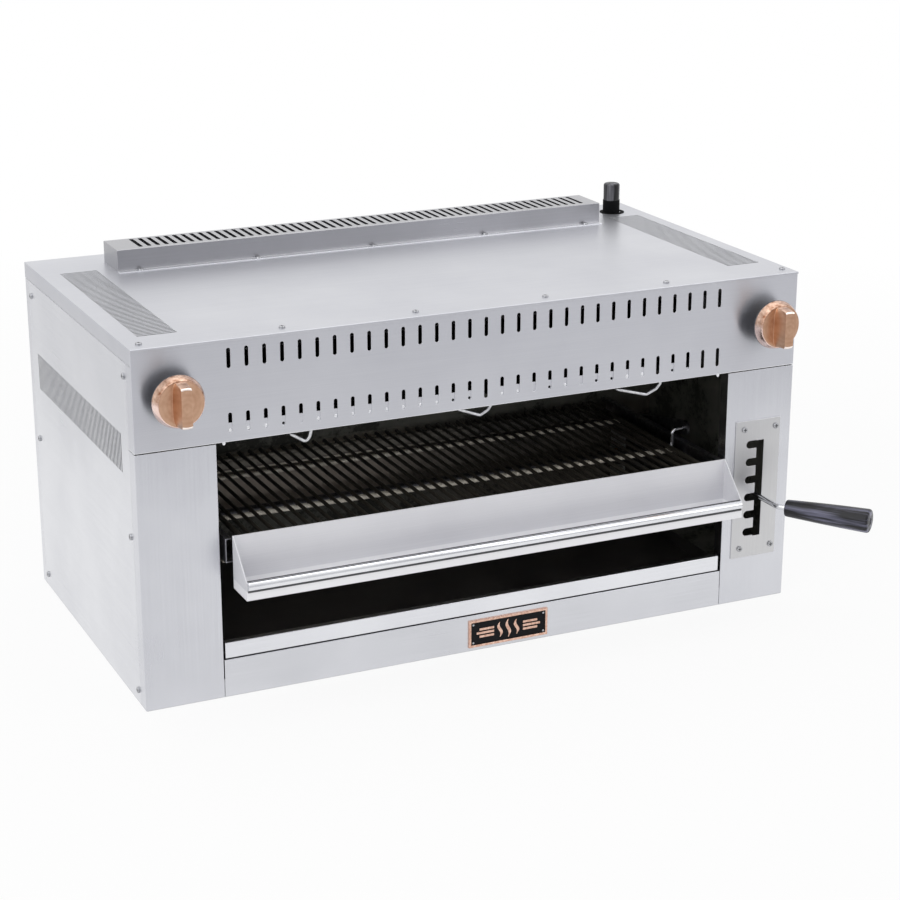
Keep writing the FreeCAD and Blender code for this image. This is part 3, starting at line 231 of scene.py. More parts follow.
@dataclass(frozen=True)
class FiredStainless(Finish):
    """Plain stainless sheet that has lived under the burners.

    The eye sees a dull brown-grey metal with straw and blue heat tints, and
    darker patches of burnt-on fat that take the gloss away.
    """

    tint: tuple[str, str, str] = ("#5B4F46", "#463E39", "#33302F")
    fat: str = "#16120F"
    fat_share: float = 0.5
    roughness: float = 0.42
    patch_mm: float = 70.0
    speck_mm: float = 5.0
    metal: float = 1.0

    def shade(self, tree: bpy.types.NodeTree) -> bpy.types.Node:
        """Builds the shader of the heat-stained sheet.

        Args:
            tree: Node tree of the material.

        Returns:
            The surface shader.
        """
        place = put(tree, "ShaderNodeTexCoord")
        patches = put(tree, "ShaderNodeTexNoise",
                      {"Scale": PER_METRE / self.patch_mm, "Detail": 4.0, "Roughness": 0.6},
                      {"Vector": (place, "Object")})
        specks = put(tree, "ShaderNodeTexNoise",
                     {"Scale": PER_METRE / self.speck_mm, "Detail": 3.0, "Roughness": 0.7},
                     {"Vector": (place, "Object")})
        metal = put(tree, "ShaderNodeValToRGB",
                    {"stops": [(0.3, linear(self.tint[0])), (0.5, linear(self.tint[1])),
                               (0.7, linear(self.tint[2]))]}, {"Fac": patches})
        soot = put(tree, "ShaderNodeMath", {"operation": "MULTIPLY_ADD", 1: 0.4}, {0: specks, 2: patches})
        dirty = put(tree, "ShaderNodeMapRange",
                    {"From Min": 1.0 - self.fat_share * 0.6, "From Max": 1.05 - self.fat_share * 0.5,
                     "To Min": 0.0, "To Max": 0.9}, {"Value": soot})
        colour = put(tree, "ShaderNodeMix", {"data_type": "RGBA", 7: linear(self.fat)}, {0: dirty, 6: metal})
        metallic = put(tree, "ShaderNodeMapRange", {"To Min": self.metal, "To Max": 0.1}, {"Value": dirty})
        gloss = put(tree, "ShaderNodeMapRange", {"To Min": self.roughness, "To Max": self.roughness + 0.25},
                    {"Value": dirty})
        bump = put(tree, "ShaderNodeBump", {"Strength": 0.25, "Distance": 0.0002}, {"Height": soot})
        return put(tree, "ShaderNodeBsdfPrincipled", {},
                   {"Base Color": (colour, 2), "Metallic": metallic, "Roughness": gloss, "Normal": bump})


@dataclass(frozen=True)
class HotDipZinc(Finish):
    """Mild steel sheet, hot-dip galvanised.

    The eye sees a cool grey of many flat crystals, each with its own tone
    and its own gloss.
    """

    tones: tuple[str, str] = ("#8E9194", "#B2B5B8")
    spangle_mm: float = 9.0

    def shade(self, tree: bpy.types.NodeTree) -> bpy.types.Node:
        """Builds the shader of the zinc crystals.

        Args:
            tree: Node tree of the material.

        Returns:
            The surface shader.
        """
        place = put(tree, "ShaderNodeTexCoord")
        crystals = put(tree, "ShaderNodeTexVoronoi",
                       {"Scale": PER_METRE / self.spangle_mm, "Randomness": 1.0},
                       {"Vector": (place, "Object")})
        tone = put(tree, "ShaderNodeSeparateColor", links={"Color": (crystals, "Color")})
        colour = put(tree, "ShaderNodeMix",
                     {"data_type": "RGBA", 6: linear(self.tones[0]), 7: linear(self.tones[1])}, {0: tone})
        gloss = put(tree, "ShaderNodeMapRange", {"To Min": 0.3, "To Max": 0.5}, {"Value": (tone, 1)})
        bump = put(tree, "ShaderNodeBump", {"Strength": 0.1, "Distance": 0.0001}, {"Height": (tone, 2)})
        return put(tree, "ShaderNodeBsdfPrincipled", {"Metallic": 1.0},
                   {"Base Color": (colour, 2), "Roughness": gloss, "Normal": bump})


@dataclass(frozen=True)
class MachinedMetal(Finish):
    """Drawn, turned or plated metal of small parts: rods, screws, fittings.

    The eye sees one metal colour with faint handling marks, a slightly
    uneven gloss and edges polished by touch.
    """

    light: str = "#C9CACD"
    dark: str = "#A5A6AA"
    roughness: float = 0.25
    mark_mm: float = 6.0
    polish_mm: float = 0.35

    def shade(self, tree: bpy.types.NodeTree) -> bpy.types.Node:
        """Builds the shader of the plain metal.

        Args:
            tree: Node tree of the material.

        Returns:
            The surface shader.
        """
        place = put(tree, "ShaderNodeTexCoord")
        marks = put(tree, "ShaderNodeTexNoise",
                    {"Scale": PER_METRE / self.mark_mm, "Detail": 4.0, "Roughness": 0.65},
                    {"Vector": (place, "Object")})
        tone = put(tree, "ShaderNodeValToRGB",
                   {"stops": [(0.35, linear(self.dark)), (0.65, linear(self.light))]}, {"Fac": marks})
        gloss = put(tree, "ShaderNodeMapRange",
                    {"From Min": 0.3, "From Max": 0.7, "To Min": self.roughness + 0.07,
                     "To Max": self.roughness - 0.04}, {"Value": marks})
        fold = put(tree, "ShaderNodeBevel", {"samples": 4, "Radius": self.polish_mm * MILLIMETRE})
        bump = put(tree, "ShaderNodeBump", {"Strength": 0.08, "Distance": 0.00005},
                   {"Height": marks, "Normal": fold})
        return put(tree, "ShaderNodeBsdfPrincipled", {"Metallic": 1.0},
                   {"Base Color": tone, "Roughness": gloss, "Normal": bump})


@dataclass(frozen=True)
class SpunCopper(Finish):
    """Turned metal, copper-plated and lacquered, with rings from the lathe.

    The eye sees a warm pinkish tan, fine rings round the axis of the knob
    and a paler colour painted along the edges as a highlight.
    """

    light: str = "#D3A584"
    dark: str = "#B98A6A"
    edge: str = "#F2D3C4"
    roughness: float = 0.3
    ring_mm: float = 0.9
    edge_mm: float = 0.5
    edge_share: float = 0.5
    stain_mm: float = 14.0

    def shade(self, tree: bpy.types.NodeTree) -> bpy.types.Node:
        """Builds the shader of the spun copper, round the local Z axis.

        Args:
            tree: Node tree of the material.

        Returns:
            The surface shader.
        """
        place = put(tree, "ShaderNodeTexCoord")
        # Tool marks are 0.2 mm apart on the real knob and drawn at 0.9 mm.
        rings = put(tree, "ShaderNodeTexWave",
                    {"wave_type": "RINGS", "rings_direction": "Z",
                     "Scale": PER_METRE / self.ring_mm / RINGS_PER_SCALE,
                     "Distortion": 0.6, "Detail": 2.0, "Detail Scale": 2.0}, {"Vector": (place, "Object")})
        stains = put(tree, "ShaderNodeTexNoise",
                     {"Scale": PER_METRE / self.stain_mm, "Detail": 4.0, "Roughness": 0.6},
                     {"Vector": (place, "Object")})
        blend = put(tree, "ShaderNodeMath", {"operation": "MULTIPLY_ADD", 1: 0.12},
                    {0: (rings, "Fac"), 2: stains})
        tone = put(tree, "ShaderNodeValToRGB",
                   {"stops": [(0.35, linear(self.dark)), (0.75, linear(self.light))]}, {"Fac": blend})
        fold = put(tree, "ShaderNodeBevel", {"samples": 6, "Radius": self.edge_mm * MILLIMETRE})
        flat = put(tree, "ShaderNodeNewGeometry")
        turn = put(tree, "ShaderNodeVectorMath", {"operation": "DOT_PRODUCT"}, {0: fold, 1: (flat, "Normal")})
        # Painted highlight: the colour turns paler along the edges, which the Bevel normal finds.
        edge_highlight = put(tree, "ShaderNodeMapRange",
                   {"From Min": 0.98, "From Max": 0.8, "To Min": 0.0, "To Max": self.edge_share},
                   {"Value": (turn, "Value")})
        colour = put(tree, "ShaderNodeMix", {"data_type": "RGBA", 7: linear(self.edge)}, {0: edge_highlight, 6: tone})
        bump = put(tree, "ShaderNodeBump", {"Strength": 0.05, "Distance": 0.00003},
                   {"Height": (rings, "Fac"), "Normal": fold})
        return put(tree, "ShaderNodeBsdfPrincipled", {"Metallic": 1.0, "Roughness": self.roughness},
                   {"Base Color": (colour, 2), "Normal": bump})


@dataclass(frozen=True)
class MouldedBlack(Finish):
    """Black moulded plastic: phenolic for the grip, soft PVC for the cap.

    The eye sees a deep black with a lighter sheen where the light falls, a
    fine skin from the mould and dust in the low places.
    """

    base: str = "#131314"
    dusty: str = "#232326"
    roughness: float = 0.28
    skin_mm: float = 1.2
    depth_mm: float = 0.02
    dust_mm: float = 22.0
    mirror: float = 0.3
    sheen_and_lines: str = ""
    streak_mm: float = 7.0
    streak_stretch: float = 20.0

    def shade(self, tree: bpy.types.NodeTree) -> bpy.types.Node:
        """Builds the shader of the moulded plastic.

        Args:
            tree: Node tree of the material.

        Returns:
            The surface shader.
        """
        place = put(tree, "ShaderNodeTexCoord")
        skin = put(tree, "ShaderNodeTexNoise", {"Scale": PER_METRE / self.skin_mm, "Detail": 2.0},
                   {"Vector": (place, "Object")})
        dust = put(tree, "ShaderNodeTexNoise",
                   {"Scale": PER_METRE / self.dust_mm, "Detail": 5.0, "Roughness": 0.65},
                   {"Vector": (place, "Object")})
        tone: Any = put(tree, "ShaderNodeValToRGB",
                        {"stops": [(0.4, linear(self.base)), (0.75, linear(self.dusty))]}, {"Fac": dust})
        if self.sheen_and_lines:
            # Paler streaks run along the piece, much longer than they are wide: painted sheen, and lengthwise
            # lines of the moulding.
            across = PER_METRE / self.streak_mm
            stretch = put(tree, "ShaderNodeMapping", {"Scale": (across, across, across / self.streak_stretch)},
                          {"Vector": (place, "Object")})
            streaks = put(tree, "ShaderNodeTexNoise", {"Scale": 1.0, "Detail": 3.0, "Roughness": 0.55},
                          {"Vector": stretch})
            sheen_and_line_share = put(tree, "ShaderNodeMapRange", {"From Min": 0.46, "From Max": 0.66}, {"Value": streaks})
            blend = put(tree, "ShaderNodeMix", {"data_type": "RGBA", 7: linear(self.sheen_and_lines)},
                        {0: sheen_and_line_share, 6: tone})
            tone = (blend, 2)
        gloss = put(tree, "ShaderNodeMapRange",
                    {"From Min": 0.3, "From Max": 0.7, "To Min": self.roughness - 0.04,
                     "To Max": self.roughness + 0.12}, {"Value": dust})
        bump = put(tree, "ShaderNodeBump", {"Strength": 0.3, "Distance": self.depth_mm * MILLIMETRE},
                   {"Height": skin})
        return put(tree, "ShaderNodeBsdfPrincipled", {"IOR": 1.55, "Specular IOR Level": self.mirror},
                   {"Base Color": tone, "Roughness": gloss, "Normal": bump})


@dataclass(frozen=True)
class BakedEnamel(Finish):
    """Black vitreous enamel or stove lacquer on steel.

    The eye sees a glassy black with a slight orange peel, and a grey film
    where it has been wiped.
    """

    base: str = "#0F0F10"
    film: str = "#1F1E1D"
    roughness: float = 0.22
    peel_mm: float = 2.5
    wipe_mm: float = 60.0
    mirror: float = 0.5

    def shade(self, tree: bpy.types.NodeTree) -> bpy.types.Node:
        """Builds the shader of the enamel.

        Args:
            tree: Node tree of the material.

        Returns:
            The surface shader.
        """
        place = put(tree, "ShaderNodeTexCoord")
        peel = put(tree, "ShaderNodeTexNoise", {"Scale": PER_METRE / self.peel_mm, "Detail": 1.0},
                   {"Vector": (place, "Object")})
        wiped = put(tree, "ShaderNodeTexNoise",
                    {"Scale": PER_METRE / self.wipe_mm, "Detail": 4.0, "Roughness": 0.6},
                    {"Vector": (place, "Object")})
        tone = put(tree, "ShaderNodeValToRGB",
                   {"stops": [(0.4, linear(self.base)), (0.7, linear(self.film))]}, {"Fac": wiped})
        gloss = put(tree, "ShaderNodeMapRange",
                    {"From Min": 0.3, "From Max": 0.7, "To Min": self.roughness,
                     "To Max": self.roughness + 0.2},
                    {"Value": wiped})
        bump = put(tree, "ShaderNodeBump", {"Strength": 0.15, "Distance": 0.0001}, {"Height": peel})
        return put(tree, "ShaderNodeBsdfPrincipled", {"IOR": 1.5, "Specular IOR Level": self.mirror},
                   {"Base Color": tone, "Roughness": gloss, "Normal": bump})


@dataclass(frozen=True)
class FiredTile(Finish):
    """Porous ceramic burner tile, pressed with rows of small flame holes.

    The eye sees a chalky cream, browned in places, with a close grid of
    dark dots.
    """

    clay: tuple[str, str] = ("#D9CDB6", "#B79F7F")
    hole: str = "#2B221B"
    pitch_mm: float = 3.0
    hole_share: float = 0.28
    brown_mm: float = 45.0

    def shade(self, tree: bpy.types.NodeTree) -> bpy.types.Node:
        """Builds the shader of the tile with its holes.

        Args:
            tree: Node tree of the material.

        Returns:
            The surface shader.
        """
        place = put(tree, "ShaderNodeTexCoord")
        # Real flame holes are 1.2 mm wide, 2 mm apart; here 3 mm apart.
        dots = put(tree, "ShaderNodeTexVoronoi",
                   {"voronoi_dimensions": "2D", "Scale": PER_METRE / self.pitch_mm, "Randomness": 0.0},
                   {"Vector": (place, "Object")})
        pit = put(tree, "ShaderNodeMapRange",
                  {"From Min": self.hole_share, "From Max": self.hole_share + 0.08, "To Min": 1.0,
                   "To Max": 0.0},
                  {"Value": (dots, "Distance")})
        browned = put(tree, "ShaderNodeTexNoise", {"Scale": PER_METRE / self.brown_mm, "Detail": 5.0},
                      {"Vector": (place, "Object")})
        clay = put(tree, "ShaderNodeMix",
                   {"data_type": "RGBA", 6: linear(self.clay[0]), 7: linear(self.clay[1])}, {0: browned})
        # The holes are not cut: dark dots stand for them, painted shade inside the holes.
        colour = put(tree, "ShaderNodeMix", {"data_type": "RGBA", 7: linear(self.hole)},
                     {0: pit, 6: (clay, 2)})
        bump = put(tree, "ShaderNodeBump", {"Strength": 0.6, "Distance": 0.0006, "invert": True},
                   {"Height": pit})
        return put(tree, "ShaderNodeBsdfPrincipled", {"Roughness": 0.85},
                   {"Base Color": (colour, 2), "Normal": bump})


@dataclass(frozen=True)
class SandCasting(Finish):
    """Grey iron from a sand mould, left as cast.

    The eye sees a dark grainy grey with no gloss and a trace of rust.
    """

    iron: tuple[str, str] = ("#3A3B3D", "#4B4743")
    grain_mm: float = 1.4
    rust_mm: float = 30.0

    def shade(self, tree: bpy.types.NodeTree) -> bpy.types.Node:
        """Builds the shader of the cast skin.

        Args:
            tree: Node tree of the material.

        Returns:
            The surface shader.
        """
        place = put(tree, "ShaderNodeTexCoord")
        sand = put(tree, "ShaderNodeTexNoise", {"Scale": PER_METRE / self.grain_mm, "Detail": 4.0},
                   {"Vector": (place, "Object")})
        rust = put(tree, "ShaderNodeTexNoise", {"Scale": PER_METRE / self.rust_mm, "Detail": 4.0},
                   {"Vector": (place, "Object")})
        tone = put(tree, "ShaderNodeMix",
                   {"data_type": "RGBA", 6: linear(self.iron[0]), 7: linear(self.iron[1])}, {0: rust})
        bump = put(tree, "ShaderNodeBump", {"Strength": 0.6, "Distance": 0.0003}, {"Height": sand})
        return put(tree, "ShaderNodeBsdfPrincipled", {"Metallic": 0.7, "Roughness": 0.68},
                   {"Base Color": (tone, 2), "Normal": bump})


@dataclass(frozen=True)
class Parted(Finish):
    """One sheet with two faces of wear, divided along a line.

    The eye sees clean metal on one side of the line and what the heat left
    on the other, with a soft border.
    """

    below: Finish
    above: Finish
    axis: str
    line_mm: float
    border_mm: float = 1.0
    ragged_mm: float = 40.0

    def shade(self, tree: bpy.types.NodeTree) -> bpy.types.Node:
        """Builds both shaders and divides them by the place on the object.

        Args:
            tree: Node tree of the material.

        Returns:
            The surface shader.
        """
        place = put(tree, "ShaderNodeTexCoord")
        ragged = put(tree, "ShaderNodeTexNoise", {"Scale": PER_METRE / self.ragged_mm, "Detail": 4.0},
                     {"Vector": (place, "Object")})
        parts = put(tree, "ShaderNodeSeparateXYZ", links={"Vector": (place, "Object")})
        moved = put(tree, "ShaderNodeMath", {"operation": "MULTIPLY_ADD", 1: self.border_mm * MILLIMETRE},
                    {0: ragged, 2: (parts, self.axis)})
        middle = (self.line_mm + self.border_mm / 2) * MILLIMETRE
        half = self.border_mm / 2 * MILLIMETRE
        share = put(tree, "ShaderNodeMapRange", {"From Min": middle - half, "From Max": middle + half},
                    {"Value": moved})
        return put(tree, "ShaderNodeMixShader", {},
                   {0: share, 1: self.below.shade(tree), 2: self.above.shade(tree)})


# Sheets of the casing
CASING_LONG = BrushedStainless("satin_stainless_lengthways", "#DADBE0", "#CFD0D5", grain=Grain.ALONG_X)
CASING_UPRIGHT = BrushedStainless("satin_stainless_upright", grain=Grain.ALONG_Z)
PANEL_SHEET = BrushedStainless("satin_stainless_panel_face", "#D3D4D9", "#C8C9CF", roughness=0.31,
                               anisotropy=0.8)
# The panel's lower fold, below Z 331.6, is near white: painted highlight.
PANEL_HEM_HIGHLIGHT = BrushedStainless("satin_stainless_panel_hem_painted_highlight", "#F6F7F9", "#EDEEF1", "#FFFFFF", roughness=0.4)
PARTED_PANEL = Parted("satin_stainless_panel", PANEL_HEM_HIGHLIGHT, PANEL_SHEET, "Z", 331.6, 0.5)
COVER_SHEET = BrushedStainless("satin_stainless_cover", "#CFD0D5", "#C5C6CC", roughness=0.35, metallic=0.85,
                               slot_shade="#28282C", slot_shade_mm=4.0)
SIDE_SHEET = BrushedStainless("satin_stainless_side", "#DEDFE3", "#D4D5DA", grain=Grain.ALONG_Y,
                              slot_shade="#77777C", slot_shade_mm=4.0)
COMB_SHEET = BrushedStainless("satin_stainless_comb", "#CFCFD0", "#C2C2C4", roughness=0.3,
                              grain=Grain.ALONG_Z)
TROUGH_INSIDE = BrushedStainless("satin_stainless_trough_inside", "#E6E6EA", "#DCDCE1", roughness=0.4,
                                 metallic=0.18)
# The trough's front lip, below Z 162.3, is near white: painted highlight.
TROUGH_LIP_HIGHLIGHT = BrushedStainless("satin_stainless_trough_lip_painted_highlight", "#FAFAFC", "#F2F2F5", "#FFFFFF", roughness=0.4,
                              metallic=0.2)
TROUGH_SHEET = Parted("satin_stainless_trough", TROUGH_LIP_HIGHLIGHT, TROUGH_INSIDE, "Z", 162.3, 0.5)
# The riser's face is a darker copy of the casing sheet, painted shade; its flange in front of Y 129.2 is near
# white, painted highlight.
RISER_FACE_SHADED = BrushedStainless("satin_stainless_riser_face_painted_shade", "#B2B2B6", "#A8A8AB", roughness=0.3)
RISER_FLANGE_HIGHLIGHT = BrushedStainless("satin_stainless_riser_flange_painted_highlight", "#F6F7FA", "#EEEFF3", roughness=0.35)
RISER_SHEET = Parted("satin_stainless_riser", RISER_FLANGE_HIGHLIGHT, RISER_FACE_SHADED, "Y", 129.2, 0.4)
# Sheets round the fire. The back wall carries painted light and shade: palest from Z 164 to 194, half lit
# from Z 110 to 164, dark below Z 110 and above Z 194 under the deck, and darker to the right below Z 194; its
# fat stains are real.
LINER_SHEET = FiredStainless("heat_stained_liner", ("#84837B", "#6F6F68", "#5E5F57"), "#34352E", metal=0.3)
HALF_LIT_LINER = FiredStainless("heat_stained_liner_painted_half_light", ("#BDB2A6", "#A89D92", "#91877D"), "#50483F",
                              fat_share=0.15, metal=0.2)
LIT_LINER = FiredStainless("heat_stained_liner_painted_light", ("#F6EDDD", "#E9E0D0", "#D6CDBE"), "#8A8172",
                             fat_share=0.08, metal=0.0)
SHADED_LINER = FiredStainless("heat_stained_liner_painted_shade", ("#6B655C", "#5C574F", "#4E4943"), "#25221E",
                              metal=0.25)
LINER_SHADED_FOOT = Parted("heat_stained_liner_painted_foot_shade", LINER_SHEET, HALF_LIT_LINER, "Z", 110.0, 14.0)
LINER_LIT_BAND = Parted("heat_stained_liner_painted_light_band", LINER_SHADED_FOOT, LIT_LINER, "Z", 164.0, 6.0)
LINER_SHADED_TO_RIGHT = Parted("heat_stained_liner_painted_side_shade", LINER_LIT_BAND, SHADED_LINER, "X", 50.0, 200.0)
REAR_LINER_LIGHT_AND_SHADE = Parted("heat_stained_liner_back_painted_light_and_shade", LINER_SHADED_TO_RIGHT, LINER_SHEET, "Z", 194.0, 12.0)
DECK_SHEET = FiredStainless("heat_stained_deck", ("#2F2E2A", "#242421", "#1C1C1A"), "#0C0C0A", fat_share=0.7)
# Hidden sheet metal, screws, welds, painted glints and shade, and badge
INNER_ZINC = HotDipZinc("galvanised_sheet")
SCREW_ZINC = MachinedMetal("bright_zinc_screws", "#C2C3C6", "#9C9DA1", roughness=0.3, mark_mm=2.0)
# Dark crosses and spots put in recesses: painted shade.
RECESS_SHADE = MouldedBlack("painted_recess_shade", "#1B1B1D", "#29292B", roughness=0.8, mirror=0.1)
# Near-white beads: weld drops below the panel, and painted glints at the foot of the vent slots.
WELD_DROP_AND_GLINT = MachinedMetal("bright_weld_drop_and_painted_glint", "#F4F5F7", "#E6E7EA", roughness=0.35, mark_mm=3.0)
COPPER_TRIM = MachinedMetal("copper_plated_trim", "#F0CDBB", "#C79A86", roughness=0.28, mark_mm=3.0)
BADGE_BLACK = BakedEnamel("black_lacquer_badge", "#09090D", "#131317", roughness=0.3, mirror=0.15)
# Burners, gas line and inlet cap
TILE_CLAY = FiredTile("pressed_burner_tile")
MIXER_IRON = SandCasting("cast_iron_mixer")
PIPE_BLACK = BakedEnamel("black_lacquered_pipe", roughness=0.4)
TURNED_BRASS = MachinedMetal("turned_brass", "#C8A862", "#A98B49", roughness=0.28)
DRAWN_ALUMINIUM = MachinedMetal("drawn_aluminium_tube", "#E3E4E6", "#C6C7CA", roughness=0.3)
PRESSED_STEEL = MachinedMetal("pressed_steel_pilot_head", "#8E8B88", "#6A6764", roughness=0.45)
# The cap and the grip carry paler streaks: painted sheen, with lengthwise lines of the moulding.
CAP_PVC = MouldedBlack("moulded_pvc_cap_top", "#0C0C0E", "#19191C", roughness=0.36, sheen_and_lines="#85858C",
                       streak_mm=10.0)
CAP_MATT = MouldedBlack("moulded_pvc_cap_foot", "#08080A", "#0F0F11", roughness=0.75, mirror=0.1)
PARTED_CAP = Parted("moulded_pvc_cap", CAP_MATT, CAP_PVC, "Z", 477.0, 1.0)
# Knobs, lever and lift
KNOB_COPPER = SpunCopper("spun_copper_knob", "#D7B094", "#C3997D", edge_share=0.15)
# The lower half of the knob's rim is near white: painted highlight; the upper half keeps its stains.
RIM_HIGHLIGHT = SpunCopper("turned_copper_knob_rim_painted_highlight", "#F8E0D8", "#E6C4B6", roughness=0.24)
RIM_WORN = SpunCopper("turned_copper_knob_rim_worn", "#E6C5B0", "#8A5D44", roughness=0.34, stain_mm=6.5)
RIM_COPPER = Parted("turned_copper_knob_rim", RIM_HIGHLIGHT, RIM_WORN, "Y", 2.0, 6.0)
# Near-white strips at the ends of the knob's bar: painted highlight.
BAR_END_HIGHLIGHT = MachinedMetal("knob_bar_end_painted_highlight", "#FFF8F2", "#FFEFE6", roughness=0.3, mark_mm=4.0)
# The backing's ring round the copper is partly its own colour and partly painted shade round the knob.
KNOB_BACKING_AND_SHADE = MouldedBlack("moulded_knob_backing_and_painted_shade", "#6E6E73", "#7C7C81", roughness=0.8, mirror=0.1)
LIFT_STEEL = MachinedMetal("plain_steel_lift", "#77777A", "#57575A", roughness=0.42)
BRIGHT_ROD = MachinedMetal("bright_plated_rod", "#DDDEE1", "#CDCED2", roughness=0.2, mark_mm=14.0)
GRIP_PHENOLIC = MouldedBlack("moulded_phenolic_grip", "#0C0C11", "#1C1C24", roughness=0.3, sheen_and_lines="#75758A")
CARRIAGE_SHEET = MachinedMetal("plain_stainless_carriage", "#A4A4A8", "#85858A", roughness=0.32)
# Rack, trough and tray
# The rods are dark with soot and painted shade; the cross bars under them, of the same wire, are pale as
# painted highlight.
RACK_WIRE_SOOT_AND_SHADE = FiredStainless("sooty_rack_wire_painted_shade", ("#403C36", "#36332D", "#2C2A25"), "#1C1A17", fat_share=0.3,
                           metal=0.25)
CROSS_WIRE_HIGHLIGHT = FiredStainless("heat_stained_cross_wire_painted_highlight", ("#E6E0D3", "#D6CFC2", "#BFB8AA"), "#756E63",
                            fat_share=0.12, metal=0.25)
# The rear bar is pale on the left and dark on the right, fading from X 50 to 250: painted light and shade.
LIT_REAR_BAR = FiredStainless("heat_stained_rear_bar_painted_light", ("#9B958A", "#8B857B", "#7A746B"), "#4C473F",
                          fat_share=0.1, metal=0.2)
SHADED_REAR_BAR = FiredStainless("heat_stained_rear_bar_painted_shade", ("#4A463F", "#3E3B35", "#33302B"), "#1F1C19",
                           metal=0.25)
REAR_BAR_LIGHT_AND_SHADE = Parted("heat_stained_rear_bar_painted_light_and_shade", LIT_REAR_BAR, SHADED_REAR_BAR, "X", 50.0, 200.0)
RACK_FRAME = Parted("rack_frame_soot_and_painted_light", RACK_WIRE_SOOT_AND_SHADE, REAR_BAR_LIGHT_AND_SHADE, "Y", 71.0, 0.5)
PULL_BAR = MachinedMetal("polished_pull_bar", "#E9EAED", "#DFE0E4", roughness=0.14, mark_mm=90.0)
# Dark rods in the gaps behind and under the pull bar: painted shade.
SHADE_SEAM = MouldedBlack("painted_shade_seam", "#505052", "#626265", roughness=0.6, mirror=0.2)
TRAY_ENAMEL = BakedEnamel("black_enamelled_tray", "#242222", "#373533", roughness=0.3)
TRAY_LIP = BrushedStainless("satin_stainless_tray_lip", "#E9EAEE", "#DEDFE4")
PARTED_TRAY = Parted("crumb_tray_sheet", TRAY_LIP, TRAY_ENAMEL, "Y", -230.8, 0.4)


